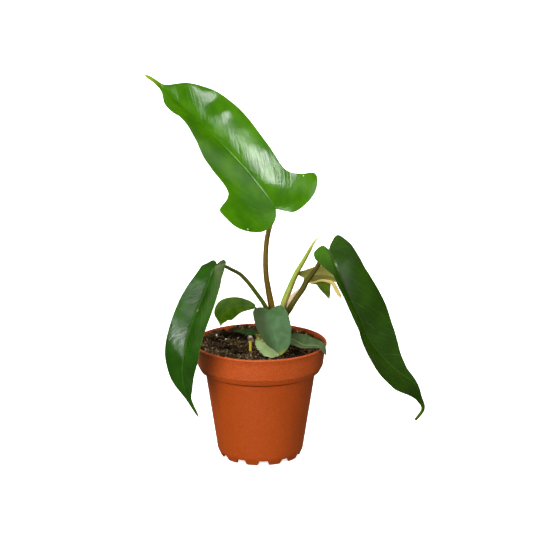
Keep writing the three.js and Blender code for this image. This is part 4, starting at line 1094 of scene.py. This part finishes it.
# %% Stalk numbers
# route: points in mm from the crown to the blade. radius: pairs of a share of the length and
# a radius, which for a sheath is half its width.
STALK_FOOT = 97
STALKS = {
    "stalk_top": dict(
        route=[[11.5, 2.5, STALK_FOOT], [11.2, 2.6, 109], [9, 3, 119], [6, 3, 135], [4.5, 3, 146],
            [4.2, 4, 160], [5.2, 4, 173], [7.5, 4, 184], [10, 2.5, 192], [11.5, -1.5, 199]],
        radius=[[0, 2.7], [0.3, 2.6], [0.5, 2.15], [0.75, 2.0], [1, 1.9]],
    ),
    "stalk_left": dict(
        route=[[10.5, -2.8, STALK_FOOT], [8.5, -3.4, 112], [5.5, -4, 118.6], [2.1, -5, 124.8],
            [-2.5, -7, 132.1], [-7.5, -9, 139.5], [-11.7, -11, 145.2], [-16.1, -13.5, 150.1],
            [-21.7, -16, 153.8], [-27, -19, 157.2], [-33, -23.4, 160.2]],
        radius=[[0, 2.2], [0.35, 1.8], [1, 1.35]],
    ),
    "stalk_right": dict(
        route=[[16.2, -1.8, STALK_FOOT], [19.4, -0.5, 111.7], [23.6, 0, 119.3], [28.3, 0, 127.1],
            [33.5, 1, 134.3], [36.2, 1, 140.1], [40.2, 2, 145.6], [45.2, 2.5, 153], [48.5, 1.8, 160],
            [53.2, -2, 166.6]],
        radius=[[0, 2.6], [0.3, 2.4], [0.7, 1.95], [1, 1.6]],
    ),
    "stalk_front": dict(
        route=[[12.8, -5.8, STALK_FOOT], [11.5, -8.2, 106], [9, -9.8, 114], [7.3, -11, 119],
            [7, -13, 120.8]],
        radius=[[0, 1.3], [1, 0.9]],
    ),
    "stalk_small_left": dict(
        route=[[7, 0.8, STALK_FOOT], [4.5, 3.5, 105], [0.5, 6.8, 113], [-4, 9.5, 117.4]],
        radius=[[0, 1.3], [1, 0.9]],
    ),
    "stalk_rear": dict(
        route=[[12.8, 7.2, STALK_FOOT], [17.5, 8.4, 107], [23.7, 9.4, 117], [30, 11.5, 127],
            [33.5, 13, 134], [34.3, 13.8, 138.8]],
        radius=[[0, 1.3], [1, 1]],
    ),
    "stalk_rear_low": dict(
        route=[[9, 6.4, STALK_FOOT], [15, 14, 106.5], [23.8, 19.5, 114.5], [30, 23, 125],
            [33, 25.3, 130], [34.6, 26, 134.1]],
        radius=[[0, 1.2], [1, 0.9]],
    ),
    "stalk_rim": dict(
        route=[[18.6, -5, STALK_FOOT], [19.4, -6.4, 99.6], [21, -7.4, 96.9]],
        radius=[[0, 1.2], [1, 0.9]],
    ),
    "stalk_soil": dict(
        route=[[4.5, 1.5, 93.5], [1, 2.6, 95.5], [-3, 4, 97.1]],
        radius=[[0, 1], [1, 0.8]],
    ),
    "stalk_pale": dict(
        route=[[6.5, -3.5, 93.5], [1, -5.2, 96], [-2.6, -8.4, 96], [-3, -9, 95.5]],
        radius=[[0, 1], [1, 0.8]],
    ),
}
GROWTHS = {
    "new_shoot": dict(
        route=[[16.6, 3.6, STALK_FOOT], [16.8, 3.4, 109], [18, 3.2, 120.4], [22.9, 4, 133.3],
            [28.3, 6, 145.4], [35, 8, 156.9], [41.5, 10, 168.6], [44.3, 11, 171.8], [49, 12, 173.4]],
        radius=[[0, 2.8], [0.35, 2.75], [0.6, 2.1], [0.85, 1.3], [1, 0.35]],
    ),
    "sheath_beige": dict(
        route=[[20.8, 2.6, 115.5], [21.8, 2.6, 120.5], [24.4, 2.6, 126], [27.8, 2.6, 130.5],
            [30.6, 2.6, 134]],
        radius=[[0, 1.4], [0.4, 2.3], [0.8, 1.7], [1, 0.4]],
    ),
    "sheath_yellow": dict(
        route=[[34.9, 12.1, 136.8], [39.3, 12, 136.4], [43.2, 11.5, 136.9], [47.8, 11.5, 138.3],
            [53.8, 11.5, 137.4], [57.2, 11.5, 135.6], [60.4, 11, 129.8], [63.8, 10.5, 123.9]],
        radius=[[0, 0.5], [0.4, 0.9], [0.7, 1.8], [0.9, 1.6], [1, 0.4]],
    ),
}


print("stalks:", len(STALKS), "and other growths:", len(GROWTHS))

# %% Tubes
FRONT = np.array([0.0, -1.0, 0.0])
THINNEST = 0.05                   # mm: least radius that an end is rounded by


def tube(route, radius, sides, steps, shape=None):
    """A closed tube: centre + radius * (cos angle * across + sin angle * over), where across is
    square to the path and to the front. The first and last rings close as a half circle does,
    and shape(share, angle) multiplies the radius. The flat place is (x, y, run)."""
    share = np.linspace(0, 1, steps)
    centre, forward, length = by_length(route, share)
    wide = ramp(radius, share)
    for place, end in ((share * length, 0), ((1 - share) * length, -1)):
        near = np.clip(place / max(wide[end], THINNEST), 0, 1)
        wide = wide * np.sqrt(np.clip(1 - (1 - near) ** 2, 0, 1))
    across = unit(np.cross(FRONT, forward))
    over = np.cross(forward, across)
    angle = np.arange(sides) * 2 * np.pi / sides
    swell = np.ones((steps, sides)) if shape is None else shape(share[:, None], angle[None])
    x, y = wide[:, None] * swell * np.cos(angle), wide[:, None] * swell * np.sin(angle)
    points = centre[:, None] + x[..., None] * across[:, None] + y[..., None] * over[:, None]
    flat = np.stack([x, y, np.broadcast_to((share * length)[:, None], x.shape)], axis=-1)
    return points.reshape(-1, 3), grid_faces(steps, sides, closed=True), flat.reshape(-1, 3)

# %% Stalk finish
def stalk_finish(name, main, second, stripe, gloss=0.40, foot=None):
    """Blotches of two colours, stripes along the stalk, dark flecks, and the foot's colour
    over the lowest few centimetres."""
    f = Finish(name)
    flat = f.flat()
    run = f.parts(flat)[2]
    streaks = f.noise(f.stretched(flat, (2.4, 2.4, 0.07)), 1.0, 4, 0.65)
    blotches = f.noise(f.stretched(flat, (0.5, 0.5, 0.06)), 1.0, 3)
    fleck = f.noise(f.stretched(flat, (3, 3, 0.8)), 1.4, 2)
    base = f.mix(blotches.between(0.35, 0.65), main, second)
    base = f.mix(streaks.between(0.5, 0.72) * 0.7, base, stripe)
    base = f.mix(run.between(48, 12) * 0.8, base, foot or second)
    base = f.mix(fleck.between(0.66, 0.74) * 0.5, base, colour(*(0.6 * v for v in main)))
    return f.shade(Base_Color=base, Roughness=gloss + 0.12 * streaks, Specular_IOR_Level=0.3,
                   Normal=f.bump(streaks * 0.7 + fleck * 0.3, 0.12, 0.6))


def stalk_shape(share, angle):
    """A groove along the side that looks up, fine ribs, and a swelling below the blade."""
    groove = 1 - 0.10 * bell((angle + np.pi) % (2 * np.pi) - np.pi - np.pi / 2, 0.4)
    ribs = 1 + 0.018 * np.cos(11 * angle + 3 * share)
    return groove * ribs * (1 + 0.12 * bell(share - 0.965, 0.02)) * (1 + 0.30 * bell(share, 0.07))

# %% Stalk pieces
STALK_LOOKS = {
    "stalk_top": dict(main=(98, 76, 8), second=(108, 84, 4), stripe=(78, 58, 20), foot=(142, 102, 14)),
    "stalk_left": dict(main=(60, 88, 10), second=(92, 90, 14), stripe=(98, 86, 24), foot=(66, 92, 10)),
    "stalk_right": dict(main=(90, 72, 6), second=(66, 68, 0), stripe=(60, 46, 8), foot=(84, 80, 6)),
}
GREEN_STALK = dict(main=(96, 118, 36), second=(120, 136, 48), stripe=(132, 130, 60))
FOOT_DEPTH = 7                    # mm that a stalk runs on into the crown
LOW_STALKS = ("stalk_soil", "stalk_pale")
LOW_FOOT_DEPTH = 2                # the same for those that lie near the soil
UNDER_BLADE = 7                   # mm that it runs on under the blade, as its midrib
LONG_GRID, SHORT_GRID = (28, 150), (18, 70)      # sides and rings of a tube


def stalk(name, numbers):
    """The route runs on into the crown below, and above passes under the notch and along the
    underside of the blade, thinning to the width of the midrib there."""
    leaf_name = name.replace("stalk", "leaf")
    leaf = LEAVES[leaf_name]
    route = numbers["route"]
    end = numbers["radius"][-1][1]
    length = by_length(leaf["midrib"], 0)[2]
    reach = min(UNDER_BLADE, length * 0.2)
    along = np.array([0.6, reach * 0.5, reach])
    point, normal = blade_surface(leaf, along, 0 * along, 1)
    below = np.array([end * 1.3, end * 0.9, end * 0.55]) + LOOKS[leaf_name]["body"] + 0.25
    seat = point - normal * below[:, None]
    foot = np.array(route[0]) + (np.array([CROWN["x"], CROWN["y"], 0]) - route[0]) * [0.25, 0.25, 0]
    foot[2] = route[0][2] - (LOW_FOOT_DEPTH if name in LOW_STALKS else FOOT_DEPTH)
    full = [foot.tolist()] + route[:-1] + seat.tolist()
    radius = [[share * 0.93, wide] for share, wide in numbers["radius"]] + [[1, end * 0.45]]
    sides, rings = LONG_GRID if name in STALK_LOOKS else SHORT_GRID
    return tube(full, radius, sides, rings, stalk_shape)


for name, numbers in STALKS.items():
    points, faces, flats = stalk(name, numbers)
    finish = stalk_finish(name + "_skin", **STALK_LOOKS.get(name, GREEN_STALK))
    piece(name.replace("stalk", "petiole"), points, faces, finish, [name], flats)

# %% [markdown]
# ## Crown, new leaf and dry sheaths
# The crown is the short stem that every stalk wraps round. The new leaf is still rolled up,
# so a seam winds along it. The sheaths are the papery skins that the rolled leaves came out
# of: thin strips, broad face to the front.

# %% Crown
CROWN_SECTORS = 72


def crown_body():
    """A turned profile, its radius times 0.93 + 0.07 cos(5 angle + height / 6)."""
    low, top, radius = CROWN["foot"], CROWN["top"], CROWN["radius"]
    profile = np.array([[0, low], [radius * 0.6, low], [radius * 0.78, low + 7], [radius * 0.95, top - 6],
                        [radius * 0.93, top - 2.5], [radius * 0.72, top - 0.4], [radius * 0.4, top + 0.1],
                        [0, top]])
    points = turned(filled(profile, 0.8), CROWN_SECTORS)
    angle = np.arctan2(points[..., 1], points[..., 0])
    folds = 0.93 + 0.07 * np.cos(5 * angle + points[..., 2] / 6)
    points[..., :2] *= folds[..., None]
    points[..., 0] += CROWN["x"]
    points[..., 1] += CROWN["y"]
    return points.reshape(-1, 3), grid_faces(len(points), CROWN_SECTORS, closed=True)


crown_points, crown_faces = crown_body()
crown_flat = crown_points - [CROWN["x"], CROWN["y"], 0]
piece("crown_stem", crown_points, crown_faces,
      stalk_finish("crown_skin", (132, 136, 44), (150, 140, 60), (120, 92, 40), 0.5),
      ["crown"], crown_flat)

# %% New leaf and sheaths
def rolled(share, angle):
    """The seam of a rolled leaf: a groove that winds one and a half times round."""
    seam = (angle - 3 * np.pi * share) % (2 * np.pi) - np.pi
    return 1 - 0.14 * bell(seam, 0.22) + 0.04 * np.cos(angle - 3 * np.pi * share)


STRIP_DEPTH = 0.38                # depth of a dry strip as a share of its width


def strip(share, angle):
    """A strip's section is an ellipse: 1 / sqrt(cos^2 angle + (sin angle / depth)^2)."""
    return 1 / np.sqrt(np.cos(angle) ** 2 + (np.sin(angle) / STRIP_DEPTH) ** 2)


SHOOT_ROUTE = [[16, 3, 91]] + GROWTHS["new_shoot"]["route"]
shoot_points, shoot_faces, shoot_flat = tube(SHOOT_ROUTE, GROWTHS["new_shoot"]["radius"], 32, 170, rolled)

# %% New leaf finish
def shoot_finish():
    """Streaked yellow-green, brown down one side, and cream at the foot and near the tip."""
    f = Finish("new_shoot_skin")
    flat = f.flat()
    x, _, run = f.parts(flat)
    streaks = f.noise(f.stretched(flat, (2.2, 2.2, 0.08)), 1.0, 4, 0.6)
    base = f.mix(streaks, (124, 150, 28), (150, 174, 44))
    side = x.between(0.2, -0.9) * streaks.between(0.1, 0.45)
    base = f.mix(side * 0.9, base, (138, 104, 60))
    base = f.mix(run.between(76, 96), base, (206, 204, 130))
    base = f.mix(run.between(50, 16) * 0.6, base, (196, 186, 112))
    return f.shade(Base_Color=base, Roughness=0.42, Normal=f.bump(streaks, 0.10, 0.6))


piece("rolled_leaf", shoot_points, shoot_faces, shoot_finish(), ["new_shoot"],
      shoot_flat)

# %% Sheaths
def sheath_finish(name, main, second):
    """Two creams, streaked along the strip."""
    f = Finish(name)
    flat = f.flat()
    streaks = f.noise(f.stretched(flat, (3.0, 3.0, 0.12)), 1.0, 4, 0.65)
    base = f.mix(streaks, main, second)
    return f.shade(Base_Color=base, Roughness=0.62 + 0.1 * streaks, Normal=f.bump(streaks, 0.15, 0.8))


SHEATH_LOOKS = {
    "sheath_beige": ((232, 214, 180), (204, 178, 138)),
    "sheath_yellow": ((232, 208, 128), (214, 186, 96)),
}
for name, (main, second) in SHEATH_LOOKS.items():
    numbers = GROWTHS[name]
    points, faces, flats = tube(numbers["route"], numbers["radius"], 24, 90, strip)
    piece(name.replace("sheath", "dry_sheath"), points, faces, sheath_finish(name + "_skin", main, second),
          [name], flats)

# %% [markdown]
# ## The old stub
# A yellow cut stub stands in front on the left, and a grey knot of root tissue sits on it.
# A ball would be too clean, so its radius swells with noise in two sizes.

# %% Stub and knot
STUB = dict(x=-7.7, y=-8, heights=(81, 88, 95), radius=[[0, 1.2], [0.8, 1.15], [1, 1.1]])
KNOB = dict(x=-7.7, y=-7.6, z=96.4, radius=2.15)
KNOT_ROWS, KNOT_SECTORS = 40, 56


def knot():
    """A ball of latitude rows, its radius times 1 + 0.22 noise + 0.12 finer noise."""
    rise = np.linspace(-np.pi / 2, np.pi / 2, KNOT_ROWS)[:, None]
    angle = np.arange(KNOT_SECTORS) * 2 * np.pi / KNOT_SECTORS
    ball = np.stack([np.cos(rise) * np.cos(angle), np.cos(rise) * np.sin(angle),
                     np.sin(rise) + 0 * angle], axis=-1)
    swell = 1 + 0.22 * rough(ball * KNOB["radius"], 1.4, 91) + 0.12 * rough(ball * KNOB["radius"], 0.6, 92)
    points = ball * swell[..., None] * KNOB["radius"] * [1.05, 0.9, 1] + [KNOB["x"], KNOB["y"], KNOB["z"]]
    return points.reshape(-1, 3), grid_faces(KNOT_ROWS, KNOT_SECTORS, closed=True)

# %% Root finish
def root_finish(name, dark, light):
    """Blots of two colours with darker grains."""
    f = Finish(name)
    place = f.node("TexCoord", out=3)
    grain = f.noise(place, 900, 4, 0.65)
    blot = f.noise(place, 380, 3)
    base = f.mix(blot.between(0.38, 0.62), dark, light)
    base = f.mix(grain.between(0.55, 0.7) * 0.5, base, (120, 100, 76))
    return f.shade(Base_Color=base, Roughness=0.85, Normal=f.bump(grain, 0.3, 0.9))


knot_points, knot_faces = knot()
piece("root_knot", knot_points, knot_faces, root_finish("knot_skin", (96, 84, 64), (196, 188, 168)),
      ["root_knob"])

stub_route = [[STUB["x"], STUB["y"], height] for height in STUB["heights"]]
stub_points, stub_faces, stub_flat = tube(stub_route, STUB["radius"], 24, 50)
piece("cut_stub", stub_points, stub_faces,
      stalk_finish("stub_skin", (214, 180, 34), (226, 198, 60), (190, 150, 40), 0.55),
      ["stub"], stub_flat)

# %% Rootlets
# route, radius and colour of the old leaf bases, the scar and the hairs
ROOTLETS = {
    "old_base_1": ([[4.5, -5, 88], [1.5, -7.5, 91.5], [-0.8, -8.5, 95], [-1.6, -8.6, 97.6]],
                   1.5, (176, 168, 84)),
    "old_base_2": ([[3.5, -1.5, 89], [0.2, -4.2, 93], [-2.2, -5.6, 97], [-3.6, -6, 99.6]],
                   1.2, (150, 138, 66)),
    "old_base_3": ([[5.5, -7, 88], [3.6, -9.5, 91], [2.2, -10.8, 94.4], [1.6, -11.2, 97]],
                   1.2, (196, 190, 128)),
    "stalk_scar": ([[-7.4, -8.6, 139.2], [-7.7, -8.8, 140.4], [-7.6, -8.9, 141.6]],
                   0.7, (150, 132, 60)),
    "pale_rootlet": ([[-8.6, -8, 95.6], [-9.6, -6.5, 92.4], [-11, -1, 89.4], [-12.3, 4.5, 87.2]],
                     0.28, (206, 194, 168)),
    "dark_hair": ([[24, -6, 109.6], [25.5, -6.6, 108.4], [27.4, -7.6, 106.4], [28.7, -8, 104.8]],
                  0.12, (70, 54, 30)),
    "white_rootlet": ([[29.6, 36, 90], [30.2, 34.5, 89], [31, 33, 87.6], [31.4, 32, 86.4]],
                      0.35, (226, 218, 198)),
}
for name, (route, radius, shade) in ROOTLETS.items():
    points, faces, flats = tube(route, [[0, radius], [0.7, radius * 0.8], [1, radius * 0.4]], 10, 40)
    darker = tuple(0.8 * value for value in shade)
    piece(name, points, faces, root_finish(name + "_skin", darker, shade), flat=flats)

# %% [markdown]
# ## Studio
# Wax and smooth plastic show the studio itself, so each light is where a highlight asks for
# it. One light for everything would wash out the dark greens. So the lights that carry the
# brightness stay out of the reflections, and six boxes make the highlights: one high on the
# right, one lower there, two narrow strips in front, and two behind, one on each side. Of
# these only the strip behind on the left also lights the plant.

# %% Floor
FLOOR_HALF = 14.0                 # metres
FLOOR_TONES = (0.94, 0.96)
FLOOR_GLOW = 0.75                 # lifts the shadow under the pot, as a lit table does


def floor_finish():
    """Pale with faint clouds, and glowing a little."""
    f = Finish("studio_floor")
    cloud = f.noise(f.node("TexCoord", out=3), 1.5, 2)
    dark, light = ((tone, tone, tone, 1) for tone in FLOOR_TONES)
    return f.shade(Base_Color=f.mix(cloud, dark, light), Roughness=0.9, Specular_IOR_Level=0.0,
                   Emission_Color=(1, 1, 1, 1), Emission_Strength=FLOOR_GLOW)


floor_corners = FLOOR_HALF * np.array([[-1, -1, 0], [1, -1, 0], [1, 1, 0], [-1, 1, 0]])
floor_mesh = bpy.data.meshes.new("studio_floor")
floor_mesh.from_pydata(floor_corners.tolist(), [], [(0, 1, 2, 3)])
floor_mesh.materials.append(floor_finish())
studio_floor = bpy.data.objects.new("studio_floor", floor_mesh)
studio_floor.visible_glossy = studio_floor.visible_diffuse = studio_floor.visible_shadow = False
bpy.context.scene.collection.objects.link(studio_floor)

# %% Lights
AIM = np.array([0.0, 0.0, 0.15])  # metres: what the lights face
FAR = 2.0                         # metres to the lights that hang further away


def away(turn, rise):
    """The direction turn degrees to the right of the camera's side and rise degrees up:
    (sin turn cos rise, -cos turn cos rise, sin rise)."""
    turn, rise = np.radians([turn, rise])
    return np.array([np.sin(turn) * np.cos(rise), -np.cos(turn) * np.cos(rise), np.sin(rise)])


def hung(name, data, turn, rise, distance, diffuse, glossy):
    """Hangs a light in a direction, facing the plant; the camera never sees it."""
    made = bpy.data.objects.new(name, data)
    made.location = AIM + away(turn, rise) * distance
    made.rotation_euler = Vector(away(turn, rise)).to_track_quat("Z", "Y").to_euler()
    made.visible_camera, made.visible_diffuse, made.visible_glossy = False, diffuse, glossy
    bpy.context.scene.collection.objects.link(made)


def box(name, turn, rise, wide, high, radiance, distance=1.6, diffuse=False, glossy=True, warm=1.0):
    """A softbox wide and high degrees across. Its power is pi * area * radiance, and its blue
    is warm times its red."""
    data = bpy.data.lights.new(name, "AREA")
    data.color = (1, 0.75 + 0.25 * warm, warm)
    data.shape = "RECTANGLE"
    data.size, data.size_y = (2 * distance * np.tan(np.radians(value) / 2) for value in (wide, high))
    data.energy = np.pi * data.size * data.size_y * radiance
    hung(name, data, turn, rise, distance, diffuse, glossy)

# %% Hanging the lights
overhead = bpy.data.lights.new("overhead", "SUN")
overhead.energy, overhead.angle = 3.3, np.radians(70)
hung("overhead", overhead, 180, 84, FAR, True, False)
FILLS = {
    "left_key": (-32, 14, 36, 36, 8.4),
    "front_fill": (6, 22, 30, 30, 2.4),
    "right_fill": (60, 8, 33, 33, 3.0),
    "back_fill": (165, 18, 40, 40, 4.5),
}
for name, numbers in FILLS.items():
    box(name, *numbers, FAR, diffuse=True, glossy=False)
box("high_right", 26, 54, 10, 9.5, 19)
box("back_right", 117, 42, 18, 14, 0.7)
box("left_strip", -136, 9, 48, 38, 0.85, diffuse=True, warm=0.6)
box("front_strip", -13, 27, 3, 26, 16, FAR)
box("low_strip", -17, -3, 4, 14, 34, FAR)
box("low_right", 51, 36, 14, 20, 1.8)
print("lights:", len(bpy.data.lights))

# %% Sky
SKY_FRONT, SKY_BACK = 0.08, 0.12
SKY_COLOUR = (1.0, 0.92, 0.55, 1)


def studio_sky():
    """A little brighter behind than in front: a smooth step on the y of the direction."""
    sky = Finish("studio_sky", bpy.data.worlds.new("studio_sky"))
    y = sky.parts(sky.node("TexCoord", out=0))[1]
    strength = SKY_FRONT + (SKY_BACK - SKY_FRONT) * y.between(-0.15, 0.45)
    return sky.output("World", sky.node("Background", sockets={"Color": SKY_COLOUR, "Strength": strength}))


bpy.context.scene.world = studio_sky()
bpy.context.scene.view_settings.view_transform = "Standard"
